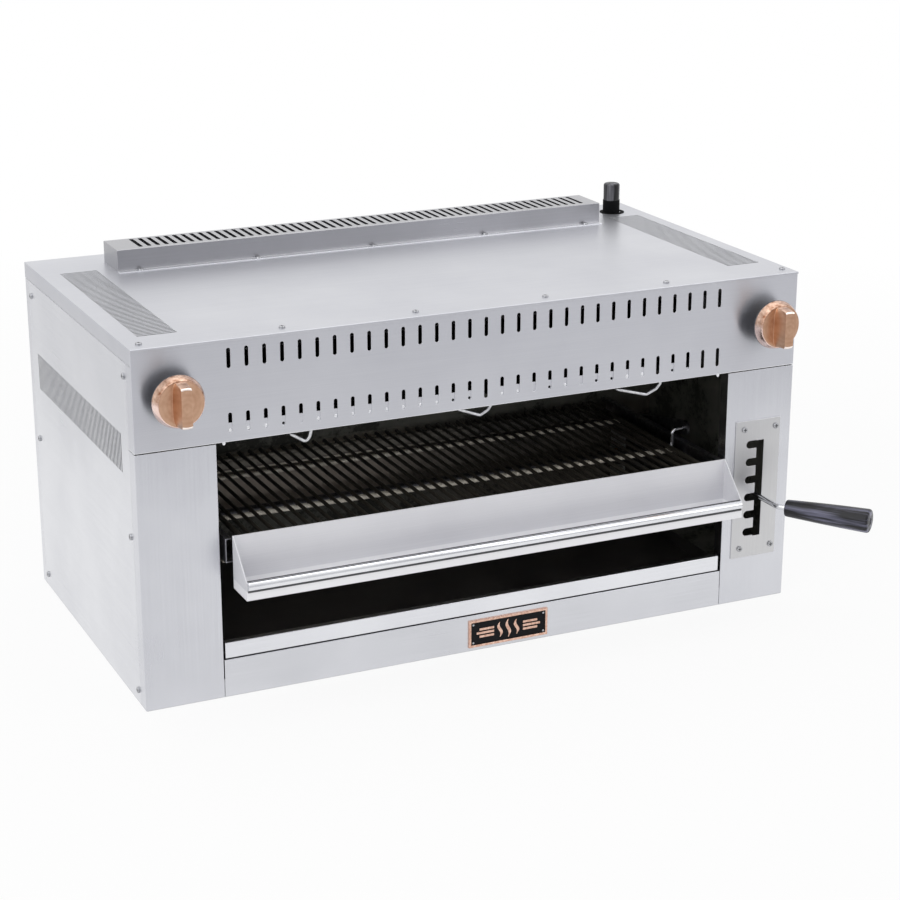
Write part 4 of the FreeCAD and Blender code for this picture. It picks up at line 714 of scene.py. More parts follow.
class Mould:
    """A mesh in the making, with sizes in millimetres."""

    def __init__(self) -> None:
        """Starts with nothing in it."""
        self.mesh = bmesh.new()

    def ring(self, points: Sequence[Vector]) -> list[bmesh.types.BMVert]:
        """Adds a row of points, given in millimetres."""
        return [self.mesh.verts.new(point * MILLIMETRE) for point in points]

    def band(self, lower: Sequence[bmesh.types.BMVert], upper: Sequence[bmesh.types.BMVert],
             closed: bool = True) -> None:
        """Joins two rows of points with faces.

        Args:
            lower: First row.
            upper: Second row, or a single point for a tip.
            closed: Whether the rows go all the way round.
        """
        count = len(lower)
        for i in range(count if closed else count - 1):
            j = (i + 1) % count
            if len(upper) == 1:
                self.mesh.faces.new((lower[i], lower[j], upper[0]))
            else:
                self.mesh.faces.new((lower[i], lower[j], upper[j], upper[i]))

    def loft(self, outlines: Sequence[Sequence[Vector]], capped: bool = True) -> None:
        """Skins a row of outlines that have the same number of points.

        Args:
            outlines: Closed outlines, from one end to the other.
            capped: Whether both ends get a face.
        """
        rings = [self.ring(outline) for outline in outlines]
        for lower, upper in zip(rings, rings[1:]):
            self.band(lower, upper)
        if capped:
            self.mesh.faces.new(list(reversed(rings[0])))
            self.mesh.faces.new(rings[-1])

    def lathe(self, profile: Outline, steps: int = 64, place: Matrix | None = None) -> None:
        """Spins a profile round an axis.

        Args:
            profile: (radius, height) pairs; a radius of zero closes an end.
            steps: Number of points round the axis.
            place: Where the axis stands, in millimetres; Z without it.
        """
        seat = place or Matrix.Identity(4)
        rows = []
        for radius, height in profile:
            if radius == 0:
                rows.append(self.ring([seat @ Vector((0, 0, height))]))
                continue
            turn = [math.tau * i / steps for i in range(steps)]
            rows.append(self.ring([seat @ Vector((radius * math.cos(a), radius * math.sin(a), height))
                                   for a in turn]))
        for lower, upper in zip(rows, rows[1:]):
            if len(lower) == 1:
                self.band(list(reversed(upper)), lower)
            else:
                self.band(lower, upper)

    def rod(self, start: Point, end: Point, radius: float, sides: int = 12, dome: float = 0.4) -> None:
        """Adds a straight round bar with softened ends.

        Args:
            start: Centre of one end.
            end: Centre of the other end.
            radius: Radius of the bar.
            sides: Number of points round it.
            dome: Width of the softened edge, as a share of the radius.
        """
        run = Vector(end) - Vector(start)
        soft = radius * dome
        profile = [(0, 0), (radius - soft, 0), (radius - soft * 0.3, soft * 0.3), (radius, soft),
                   (radius, run.length - soft), (radius - soft * 0.3, run.length - soft * 0.3),
                   (radius - soft, run.length), (0, run.length)]
        turn = run.to_track_quat("Z", "Y").to_matrix().to_4x4()
        self.lathe(profile, sides, Matrix.Translation(Vector(start)) @ turn)

    def bead(self, centre: Point, size: Point, steps: int = 8) -> None:
        """Adds a small rounded lump, such as a drop of weld.

        Args:
            centre: Middle of the lump.
            size: Half its width along X, Y and Z.
            steps: Number of points round it.
        """
        rows = [(math.sin(math.pi * k / 5), -math.cos(math.pi * k / 5)) for k in range(6)]
        profile = [(0 if k in (0, 5) else r, h) for k, (r, h) in enumerate(rows)]
        seat = Matrix.Translation(Vector(centre)) @ Matrix.Diagonal((*size, 1))
        self.lathe(profile, steps, seat)

    def cross(self, centre: Point, axis: int, reach: float = 2.5, half: float = 0.6,
              thick: float = 0.2) -> None:
        """Adds a thin upright cross that lies across an axis.

        Args:
            centre: Middle of the cross.
            axis: Number of the axis that the cross faces along.
            reach: Half the length of each arm.
            half: Half the width of each arm.
            thick: Half the thickness.
        """
        first, second = (k for k in range(3) if k != axis)
        for along, over in ((first, second), (second, first)):
            spread = [0.0, 0.0, 0.0]
            spread[axis] = thick
            spread[along] = reach
            spread[over] = half
            low = tuple(c - s for c, s in zip(centre, spread))
            high = tuple(c + s for c, s in zip(centre, spread))
            self.block(low, high)

    def block(self, low: Point, high: Point) -> None:
        """Adds a box between two corners."""
        floor = [(low[0], low[1]), (high[0], low[1]), (high[0], high[1]), (low[0], high[1])]
        self.loft([[Vector((x, y, z)) for x, y in floor] for z in (low[2], high[2])])

    def finished(self, name: str, crease: float = 35.0) -> bpy.types.Object:
        """Turns the mould into an object of the scene.

        Args:
            name: Name of the object.
            crease: Angle in degrees above which an edge stays sharp.

        Returns:
            The new object.
        """
        bmesh.ops.recalc_face_normals(self.mesh, faces=self.mesh.faces)
        data = bpy.data.meshes.new(name)
        self.mesh.to_mesh(data)
        self.mesh.free()
        data.shade_smooth()
        data.set_sharp_from_angle(angle=math.radians(crease))
        made = bpy.data.objects.new(name, data)
        bpy.context.scene.collection.objects.link(made)
        return made


class SubAssembly:
    """What the sub-assemblies of the grill share."""

    def dress(self, finish: Finish, *nodes: str) -> None:
        """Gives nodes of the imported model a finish.

        Args:
            finish: Finish to give.
            nodes: Names of the nodes.
        """
        for name in nodes:
            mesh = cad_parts[name].data
            mesh.materials.clear()
            mesh.materials.append(finish.material())
            LOG.info("%s: %s gets %s", type(self).__name__, name, finish.name)

    def add(self, mould: Mould, name: str, body: Body, finish: Finish, slot: str,
            replaced: Sequence[str] = (), place: Matrix | None = None) -> bpy.types.Object:
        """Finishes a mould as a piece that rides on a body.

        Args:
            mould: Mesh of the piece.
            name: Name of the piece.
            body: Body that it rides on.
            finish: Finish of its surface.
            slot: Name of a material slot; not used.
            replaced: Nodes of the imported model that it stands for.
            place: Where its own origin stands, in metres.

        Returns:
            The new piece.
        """
        made = mould.finished(name)
        if place is not None:
            made.matrix_world = place
        made.data.materials.append(finish.material())
        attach(made, body.value)
        if replaced:
            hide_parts(*replaced)
        LOG.info("%s: made %s", type(self).__name__, name)
        return made


@dataclass
class Casing(SubAssembly):
    """The stainless skin of the cabinet, with its screws."""

    back_screw_x: tuple[float, ...] = (-448.5, 448.5)
    back_screw_z: tuple[float, ...] = (30.0, 160.0, 290.0, 420.0)
    cover_screw_x: tuple[float, ...] = (-400.0, -200.0, 0.0, 200.0, 400.0)
    cover_screw_z: float = 447.0
    back_y: float = 240.0
    head_radius: float = 4.0
    head_height: float = 1.6
    side_x: float = 457.0
    side_screws: Outline = ((-210, 419), (-210, 218), (-211, 18), (212, 417), (212, 217), (211, 18))
    top_z: float = 458.0
    top_screws: Outline = ((-440, -220), (-262, -220), (-87, -220), (92, -220), (268, -220), (445, -220))
    riser_z: float = 459.2
    riser_screws: Outline = ((-330, 125.5), (-165, 125.5), (5, 125.5), (175, 125.5), (335, 125.5))
    recess_out: float = 1.82
    vent_pitch: float = 22.5
    large_glint_slots: tuple[int, ...] = (-15, -14, -13, -10, -9, 9, 10)
    glint_slots: tuple[int, ...] = (-8, -7, -6, -5, -4, -3, 1, 2, 5)
    shade_spot_slots: tuple[int, ...] = (-12, -2, -1, 4, 7, 8, 12)
    baffle_y: float = -238.8
    slot_bead_z: float = 344.8
    drop_x: tuple[float, ...] = (-345.9, 340.4)
    drop_y: float = -238.2
    drop_z: float = 329.2
    drop_size: Point = (2.4, 1.6, 2.6)

    def build(self) -> None:
        """Dresses the panels and adds screws, painted shade in their recesses, painted glints and shade in
        the vent slots, and weld drops.
        """
        self.dress(CASING_LONG, "base_front_panel", "back_panel")
        self.dress(PARTED_PANEL, "control_panel")
        self.dress(COVER_SHEET, "top_cover")
        self.dress(RISER_SHEET, "flue_riser")
        self.dress(CASING_UPRIGHT, "left_pillar", "right_pillar")
        self.dress(SIDE_SHEET, "left_side_panel", "right_side_panel")
        self.dress(SCREW_ZINC, "side_screws", "top_screws", "riser_screws")
        self.back_screws()
        self.fill_recesses()
        self.slot_glints_and_drops()

    def back_screws(self) -> None:
        """Adds two upright rows of screws and one along the cover's flange."""
        mould = Mould()
        seats = [(x, z) for x in self.back_screw_x for z in self.back_screw_z]
        seats += [(x, self.cover_screw_z) for x in self.cover_screw_x]
        for x, z in seats:
            turn = Matrix.Translation(Vector((x, self.back_y, z))) @ Matrix.Rotation(-math.pi / 2, 4, "X")
            head = [(0, self.head_height - 0.7), (0.8, self.head_height - 0.5), (1.5, self.head_height),
                    (self.head_radius - 1.2, self.head_height), (self.head_radius - 0.3, 0.9),
                    (self.head_radius, 0.1), (self.head_radius, -0.3)]
            mould.lathe(head, 24, turn)
        self.add(mould, "back_panel_screws", Body.CABINET, SCREW_ZINC, "zinc_steel")

    def fill_recesses(self) -> None:
        """Lays a dark cross in the recess of every visible screw: painted shade."""
        mould = Mould()
        out = self.recess_out
        for side in (-1, 1):
            for y, z in self.side_screws:
                mould.cross((side * (self.side_x + out), y, z), 0)
        for x, y in self.top_screws:
            mould.cross((x, y, self.top_z + out), 2)
        for x, y in self.riser_screws:
            mould.cross((x, y, self.riser_z + out), 2)
        self.add(mould, "screw_recess_painted_shade", Body.CABINET, RECESS_SHADE, "zinc_steel")

    def slot_glints_and_drops(self) -> None:
        """Adds bright beads and dark spots in the lower vent slots, painted highlights and painted shade, and
        the weld drops below the panel's edge.
        """
        for name, slots, size, finish in (
            ("vent_large_painted_glints", self.large_glint_slots, 2.45, WELD_DROP_AND_GLINT),
            ("vent_painted_glints", self.glint_slots, 2.0, WELD_DROP_AND_GLINT),
            ("vent_painted_shade_spots", self.shade_spot_slots, 1.8, RECESS_SHADE),
        ):
            mould = Mould()
            for i in slots:
                mould.bead((i * self.vent_pitch, self.baffle_y, self.slot_bead_z), (size, 0.8, size), 16)
            self.add(mould, name, Body.CABINET, finish, "casing_stainless")
        mould = Mould()
        for x in self.drop_x:
            mould.bead((x, self.drop_y, self.drop_z), self.drop_size, 12)
        self.add(mould, "panel_hem_drops", Body.CABINET, WELD_DROP_AND_GLINT, "casing_stainless")


@dataclass
class CombPlate(SubAssembly):
    """The plate whose notches hold the lever."""

    face_y: float = -241.5
    screws: Outline = ((384, 248), (433, 248), (384, 78), (433, 78))
    recess_out: float = 1.82

    def build(self) -> None:
        """Dresses the comb plate and its four screws, with painted shade in their recesses."""
        self.dress(COMB_SHEET, "notch_plate")
        self.dress(SCREW_ZINC, "notch_plate_screws")
        mould = Mould()
        for x, z in self.screws:
            mould.cross((x, self.face_y - self.recess_out, z), 1)
        self.add(mould, "comb_screw_painted_shade", Body.CABINET, RECESS_SHADE, "zinc_steel")


@dataclass
class Badge(SubAssembly):
    """Plain rectangular badge: a copper rim, waves and bars on black lacquer.

    A wave is its distance from the middle and half its height; a bar is its
    height above the middle and how far it reaches from it.
    """

    left: float = -23.0
    right: float = 91.0
    low: float = 5.5
    high: float = 43.0
    rim: float = 3.2
    face_y: float = -242.6
    field_y: float = -241.2
    relief: float = 0.7
    waves: Outline = ((-12.0, 10.5), (0.0, 12.5), (12.0, 10.5))
    wave_rows: int = 20
    wave_sway: float = 2.2
    wave_tip: float = 0.5
    wave_swell: float = 2.5
    bars: Outline = ((5.0, 42.0), (0.0, 46.0), (-5.0, 42.0))
    bar_start: float = 21.0
    bar_half: float = 1.5

    def build(self) -> None:
        """Makes the rim and the raised motif, and dresses the field."""
        self.make_rim()
        self.make_motif()
        self.dress(BADGE_BLACK, "badge_field")
        self.dress(SCREW_ZINC, "badge_screws")

    def make_rim(self) -> None:
        """Makes the raised rim with a rounded outer edge."""
        mould = Mould()
        steps = ((0.0, -240.0), (0.0, self.face_y + 0.6), (0.6, self.face_y), (self.rim - 0.5, self.face_y),
                 (self.rim, self.face_y + 0.4), (self.rim, -240.0))
        loops = []
        for inset, y in steps:
            x0, x1 = self.left + inset, self.right - inset
            z0, z1 = self.low + inset, self.high - inset
            loops.append([Vector((x0, y, z0)), Vector((x1, y, z0)), Vector((x1, y, z1)), Vector((x0, y, z1))])
        mould.loft(loops, capped=False)
        self.add(mould, "badge_rim", Body.CABINET, COPPER_TRIM, "copper_rim", ["badge_frame"])

    def make_motif(self) -> None:
        """Makes three rising waves between two sets of three short bars."""
        mould = Mould()
        middle = (self.left + self.right) / 2
        height = (self.low + self.high) / 2
        foot = self.field_y + 0.2
        crest = self.field_y - self.relief
        for offset, tall in self.waves:
            rows = []
            for i in range(self.wave_rows + 1):
                share = i / self.wave_rows
                z = height - tall + 2 * tall * share
                x = middle + offset + self.wave_sway * math.sin(share * math.tau)
                half = self.wave_tip + self.wave_swell * math.sin(share * math.pi)
                rows.append([Vector((x - half, foot, z)), Vector((x, crest, z)), Vector((x + half, foot, z))])
            mould.loft(rows)
        for side in (-1, 1):
            for level, reach in self.bars:
                x0, x1 = sorted((middle + side * self.bar_start, middle + side * reach))
                z = height + level
                mould.block((x0, crest, z - self.bar_half), (x1, foot, z + self.bar_half))
        self.add(mould, "badge_motif", Body.CABINET, COPPER_TRIM, "copper_rim")


@dataclass
class CookingSpace(SubAssembly):
    """Liner, burners and the sheet metal behind the skin."""

    def build(self) -> None:
        """Dresses everything that the fire has stained; the back liner also carries painted light and shade.
        """
        self.dress(LINER_SHEET, "liner_left", "liner_right")
        self.dress(REAR_LINER_LIGHT_AND_SHADE, "liner_back")
        self.dress(DECK_SHEET, "burner_deck", "left_burner_box", "right_burner_box", "burner_screens")
        self.dress(TILE_CLAY, "burner_tiles")
        self.dress(INNER_ZINC, "base_pan", "corner_posts", "heat_shield", "lift_brackets")
        self.dress(LINER_SHEET, "side_bearers")
        self.dress(SCREW_ZINC, "leg_nuts")


@dataclass
class GasTrain(SubAssembly):
    """Pipe, taps, mixers, pilots and the capped inlet."""

    inlet: tuple[float, float] = (412.0, 188.0)
    foot: float = 459.0
    top: float = 501.5
    foot_radius: float = 12.4
    top_radius: float = 11.8
    bore: float = 11.0
    pipe_end: float = 497.0
    collar: float = 18.0

    def build(self) -> None:
        """Dresses the gas line and makes the cap and its grommet."""
        self.dress(PIPE_BLACK, "gas_manifold")
        self.dress(TURNED_BRASS, "left_gas_valve", "right_gas_valve", "left_valve_stem", "right_valve_stem")
        self.dress(MIXER_IRON, "left_mixing_tube", "right_mixing_tube")
        self.dress(DRAWN_ALUMINIUM, "pilot_tubes")
        self.dress(PRESSED_STEEL, "pilot_burners")
        self.make_cap()
        self.make_grommet()

    def make_cap(self) -> None:
        """Makes the push-on cap, thicker at its collar and open below."""
        mould = Mould()
        knee = self.foot + self.collar
        profile = [(self.bore, self.pipe_end), (self.bore, self.foot + 0.6), (self.bore + 0.5, self.foot),
                   (self.foot_radius - 0.3, self.foot), (self.foot_radius, self.foot + 0.4),
                   (self.foot_radius, knee - 0.4), (self.foot_radius - 0.25, knee),
                   (self.top_radius - 0.1, knee + 1.2), (self.top_radius, self.top - 3.2),
                   (self.top_radius - 0.25, self.top - 1.9), (self.top_radius - 0.95, self.top - 0.8),
                   (self.top_radius - 2.0, self.top - 0.2), (self.top_radius - 3.2, self.top), (0, self.top)]
        seat = Matrix.Translation(Vector((self.inlet[0], self.inlet[1], 0)))
        mould.lathe([(0, self.pipe_end)] + profile, 64, seat)
        self.add(mould, "inlet_cap_moulded", Body.CAP, PARTED_CAP, "cap_plastic", ["inlet_cap"])

    def make_grommet(self) -> None:
        """Makes the rubber ring that lines the pipe hole in the top cover."""
        mould = Mould()
        profile = [(12.7, 458.1), (17.9, 458.05), (18.3, 458.3), (18.0, 458.8), (16.8, 459.1), (14.0, 459.0),
                   (12.7, 458.7), (12.7, 458.1)]
        mould.lathe(profile, 64, Matrix.Translation(Vector((self.inlet[0] + 1.4, self.inlet[1], 0))))
        self.add(mould, "pipe_grommet", Body.CABINET, CAP_MATT, "cap_plastic")


@dataclass
class ControlKnob(SubAssembly):
    """Round copper knob with a tall bar between two finger hollows."""

    side: str
    x: float
    body: Body
    back_y: float = -259.0
    z: float = 395.5
    skirt: float = 32.5
    shoulder: float = 28.5
    face: float = 14.0
    crest: float = 35.0
    bar_half: float = 6.4
    flank_run: float = 4.2
    upper_tip: Outline = ((22.6, 35.0), (24.0, 34.5), (24.6, 33.4))
    lower_tip: Outline = ((22.0, 35.0), (24.2, 34.2), (24.9, 33.4))
    nose: Outline = ((25.4, 28.0), (26.3, 20.0), (27.2, 14.6), (27.5, 13.8))
    rows: int = 32
    columns: int = 10

    def build(self) -> None:
        """Makes the knob, standing on its back with the bar upright."""
        turn = Matrix.Translation(Vector((self.x, self.back_y, self.z)) * MILLIMETRE)
        turn = turn @ Matrix.Rotation(math.pi / 2, 4, "X")
        node = f"{self.side}_knob"
        for part, finish, maker in (("turned", KNOB_COPPER, self.make_face),
                                    ("rim", RIM_COPPER, self.make_rim),
                                    ("painted_highlight_ends", BAR_END_HIGHLIGHT, self.make_highlight_ends),
                                    ("backing", KNOB_BACKING_AND_SHADE, self.make_backing)):
            mould = Mould()
            maker(mould)
            self.add(mould, f"{node}_{part}", self.body, finish, "knob_copper", [node], turn)

    def make_rim(self, mould: Mould) -> None:
        """Adds the cone round the face and the two ends of the bar.

        Args:
            mould: Mesh to add to.
        """
        profile = [(self.skirt - 2.0, 1.5), (self.skirt - 0.7, 1.7), (self.skirt - 0.2, 2.2),
                   (self.skirt - 0.4, 3.0), (31.2, 6.6), (29.9, 10.4), (self.shoulder + 0.3, 13.1),
                   (self.shoulder - 0.2, 13.8), (self.shoulder - 0.9, self.face)]
        mould.lathe(profile, 96)
        self.make_end(mould, self.upper_tip[-1:] + self.nose, 1)
        self.make_end(mould, self.lower_tip[-1:] + self.nose, -1)

    def make_highlight_ends(self, mould: Mould) -> None:
        """Adds a near-white strip across both ends of the bar: painted highlight."""
        self.make_end(mould, self.upper_tip, 1)
        self.make_end(mould, self.lower_tip, -1)

    def make_end(self, mould: Mould, profile: Outline, end: int) -> None:
        """Adds a rounded surface across one end of the bar.

        Args:
            mould: Mesh to add to.
            profile: (radius, height) pairs from the crest down.
            end: 1 for the upper end, -1 for the lower end.
        """
        rows = []
        for radius, height in profile:
            row = []
            for i in range(self.columns + 1):
                x = self.bar_half * (2 * i / self.columns - 1)
                row.append(Vector((x, end * math.sqrt(radius ** 2 - x ** 2), height)))
            rows.append(mould.ring(row))
        for lower, upper in zip(rows, rows[1:]):
            mould.band(lower, upper, closed=False)

    def make_backing(self, mould: Mould) -> None:
        """Adds the black plate behind the copper, with its hub; its dark tone also stands as painted shade
        round the knob.

        Args:
            mould: Mesh to add to.
        """
        profile = [(4.2, 0.0), (8.0, 0.0), (8.0, 7.5), (25.0, 7.5), (25.0, 0.5), (25.5, 0.0),
                   (self.skirt - 0.6, 0.0), (self.skirt - 0.1, 0.5), (self.skirt - 0.1, 1.3),
                   (self.skirt - 0.6, 1.6), (self.skirt - 3.0, 1.6)]
        mould.lathe(profile, 96)

    def make_face(self, mould: Mould) -> None:
        """Adds the flat face, the crest of the bar and both of its flanks.

        Args:
            mould: Mesh to add to.
        """
        mould.lathe([(self.shoulder - 0.8, self.face), (0, self.face)], 96)
        upper, lower = self.upper_tip[0][0], self.lower_tip[0][0]
        crest = []
        for i in range(self.columns + 1):
            x = self.bar_half * (2 * i / self.columns - 1)
            top, foot = math.sqrt(upper ** 2 - x ** 2), -math.sqrt(lower ** 2 - x ** 2)
            crest.append(mould.ring([Vector((x, foot + (top - foot) * j / self.rows, self.crest))
                                     for j in range(self.rows + 1)]))
        for near, far in zip(crest, crest[1:]):
            mould.band(near, far, closed=False)
        for hand in (-1, 1):
            self.make_flank(mould, hand)

    def make_flank(self, mould: Mould, hand: int) -> None:
        """Adds one flank of the bar, fuller in the middle than at its ends.

        Args:
            mould: Mesh to add to.
            hand: -1 for the left side, 1 for the right one.
        """
        levels = []
        for (top, height), (foot, _) in zip(self.upper_tip + self.nose, self.lower_tip + self.nose):
            high = math.sqrt(top ** 2 - self.bar_half ** 2)
            low = -math.sqrt(foot ** 2 - self.bar_half ** 2)
            depth = ((self.crest - height) / (self.crest - self.face)) ** 1.2
            row = []
            for j in range(self.rows + 1):
                turn = math.sin(math.pi / 2 * (2 * j / self.rows - 1))
                swell = self.flank_run * depth * (1 - abs(turn) ** 5)
                along = (high + low) / 2 + (high - low) / 2 * turn
                row.append(Vector((hand * (self.bar_half + swell), along, height)))
            levels.append(mould.ring(row))
        for upper, lower in zip(levels, levels[1:]):
            mould.band(upper, lower, closed=False)


@dataclass
class Lever(SubAssembly):
    """The bent lever rod and its grip."""

    corner: Point = (409.75, -290.0, 151.5)
    angle: float = 38.6
    start: float = 12.0
    length: float = 115.0
    near: float = 11.5
    far: float = 16.0
    rod: float = 3.6

    def build(self) -> None:
        """Dresses the rod and makes the grip."""
        self.dress(BRIGHT_ROD, "lever_rod")
        mould = Mould()
        run = self.length
        profile = [(0, 0.4), (self.rod + 0.4, 0.4), (self.rod + 0.6, 0.0), (self.near - 2.4, 0.0),
                   (self.near - 0.9, 0.5), (self.near - 0.2, 1.8), (self.near, 3.4)]
        for i in range(1, 12):
            share = i / 12
            swell = 0.5 * math.sin(math.pi * share)
            profile.append((self.near + (self.far - self.near) * share + swell, 3.4 + (run - 7.0) * share))
        profile += [(self.far, run - 3.4), (self.far - 0.3, run - 1.8), (self.far - 1.1, run - 0.6),
                    (self.far - 2.6, run), (5.0, run), (4.4, run - 0.7), (0, run - 0.9)]
        mould.lathe(profile, 64)
        heading = Vector((math.sin(math.radians(self.angle)), -math.cos(math.radians(self.angle)), 0))
        seat = (Vector(self.corner) + heading * self.start) * MILLIMETRE
        turn = Matrix.Translation(seat) @ heading.to_track_quat("Z", "Y").to_matrix().to_4x4()
        self.add(mould, "lever_grip_moulded", Body.LEVER, GRIP_PHENOLIC, "grip_phenolic", ["lever_grip"],
                 turn)


@dataclass
class LiftGear(SubAssembly):
    """Shaft, arms, links and the sliding carriage."""

    def build(self) -> None:
        """Dresses the lift and the carriage."""
        self.dress(LIFT_STEEL, "lift_shaft", "lower_arms", "lever_crank", "left_upper_arm", "right_upper_arm")
        self.dress(TURNED_BRASS, "shaft_bushes")
        self.dress(SCREW_ZINC, "upper_arm_studs")
        self.dress(CARRIAGE_SHEET, "carriage_rails")
        # The ties take the rear bar's painted light and shade.
        self.dress(REAR_BAR_LIGHT_AND_SHADE, "carriage_ties")
        self.dress(BRIGHT_ROD, "hanger_rods")


@dataclass
class Rack(SubAssembly):
    """The sliding rack: frame, wire grid, drip trough and pull bar."""

    pitch: float = 15.6
    half_count: int = 20
    rod_radius: float = 2.5
    wire_radius: float = 3.5
    rod_z: float = 203.6
    cross_z: float = 198.0
    run: tuple[float, float] = (-250.0, 80.0)
    side_x: float = 325.0
    cross_reach: float = 334.0
    cross_y: tuple[float, ...] = (-235.0, -143.0, 2.5, 70.0)
    weld_reach: float = 1.7
    weld_lift: float = 3.3
    trough_half: float = 344.0
    bar_radius: float = 5.75
    bar_y: float = -301.8
    bar_z: float = 168.0

    def build(self) -> None:
        """Makes the grid and the pull bar, and dresses the rest."""
        self.dress(RACK_FRAME, "rack_frame")
        self.dress(TROUGH_SHEET, "drip_trough")
        self.make_grid()
        self.make_pull_bar()
        self.make_seams()

    def make_grid(self) -> None:
        """Makes the rods, the cross bars under them and a weld at each crossing."""
        mould = Mould()
        shake = random.Random(7)
        places = [i * self.pitch for i in range(-self.half_count, self.half_count + 1)]
        for x in places:
            mould.rod((x, self.run[0], self.rod_z), (x, self.run[1], self.rod_z), self.rod_radius, 14)
        for x in (-self.side_x, self.side_x):
            mould.rod((x, self.run[0], self.rod_z), (x, self.run[1], self.rod_z), self.wire_radius, 16)
        for y in self.cross_y:
            for x in places:
                for hand in (-1, 1):
                    size = (shake.uniform(1.0, 1.5), shake.uniform(1.5, 2.2), shake.uniform(0.9, 1.3))
                    mould.bead((x + hand * self.weld_reach, y, self.cross_z + self.weld_lift), size, 6)
        self.add(mould, "grid_rods", Body.RACK, RACK_WIRE_SOOT_AND_SHADE, "rack_steel", ["grill_grid"])
        reach, level = self.cross_reach, self.cross_z
        for name, seats, finish in (("grid_cross_bars", self.cross_y[:-1], CROSS_WIRE_HIGHLIGHT),
                                    ("grid_rear_bar", self.cross_y[-1:], REAR_BAR_LIGHT_AND_SHADE)):
            cross = Mould()
            for y in seats:
                cross.rod((-reach, y, level), (reach, y, level), self.wire_radius, 16)
            self.add(cross, name, Body.RACK, finish, "rack_steel", ["grill_grid"])

    def make_pull_bar(self) -> None:
        """Makes the round bar along the lip of the trough."""
        mould = Mould()
        mould.rod((-self.trough_half, self.bar_y, self.bar_z), (self.trough_half, self.bar_y, self.bar_z),
                  self.bar_radius, 40, 0.15)
        self.add(mould, "trough_pull_bar", Body.RACK, PULL_BAR, "polished_rod", ["trough_front_bar"])

    def make_seams(self) -> None:
        """Lays dark rods behind the pull bar and under it: painted shade of the gaps there."""
        mould = Mould()
        for y, z, radius in ((self.bar_y + 2.0, self.bar_z + 5.6, 0.75),
                             (self.bar_y - 1.9, self.bar_z - 6.4, 1.2)):
            mould.rod((-self.trough_half, y, z), (self.trough_half, y, z), radius, 10)
        self.add(mould, "trough_painted_shade_seams", Body.RACK, SHADE_SEAM, "rack_steel")


@dataclass
class CrumbTray(SubAssembly):
    """The sliding tray under the rack."""

    def build(self) -> None:
        """Dresses the tray."""
        self.dress(PARTED_TRAY, "crumb_tray")


@dataclass(frozen=True)
class Card:
    """A flat glowing card that only reflections see, with places in metres."""

    name: str
    left: str
    right: str
    low: Point
    high: Point

    def corners(self) -> list[Vector]:
        """Gives the four corners in turn, in millimetres."""
        (x0, y0, z0), (x1, y1, z1) = self.low, self.high
        return [Vector(c) / MILLIMETRE for c in ((x0, y0, z0), (x1, y0, z0), (x1, y1, z1), (x0, y1, z1))]


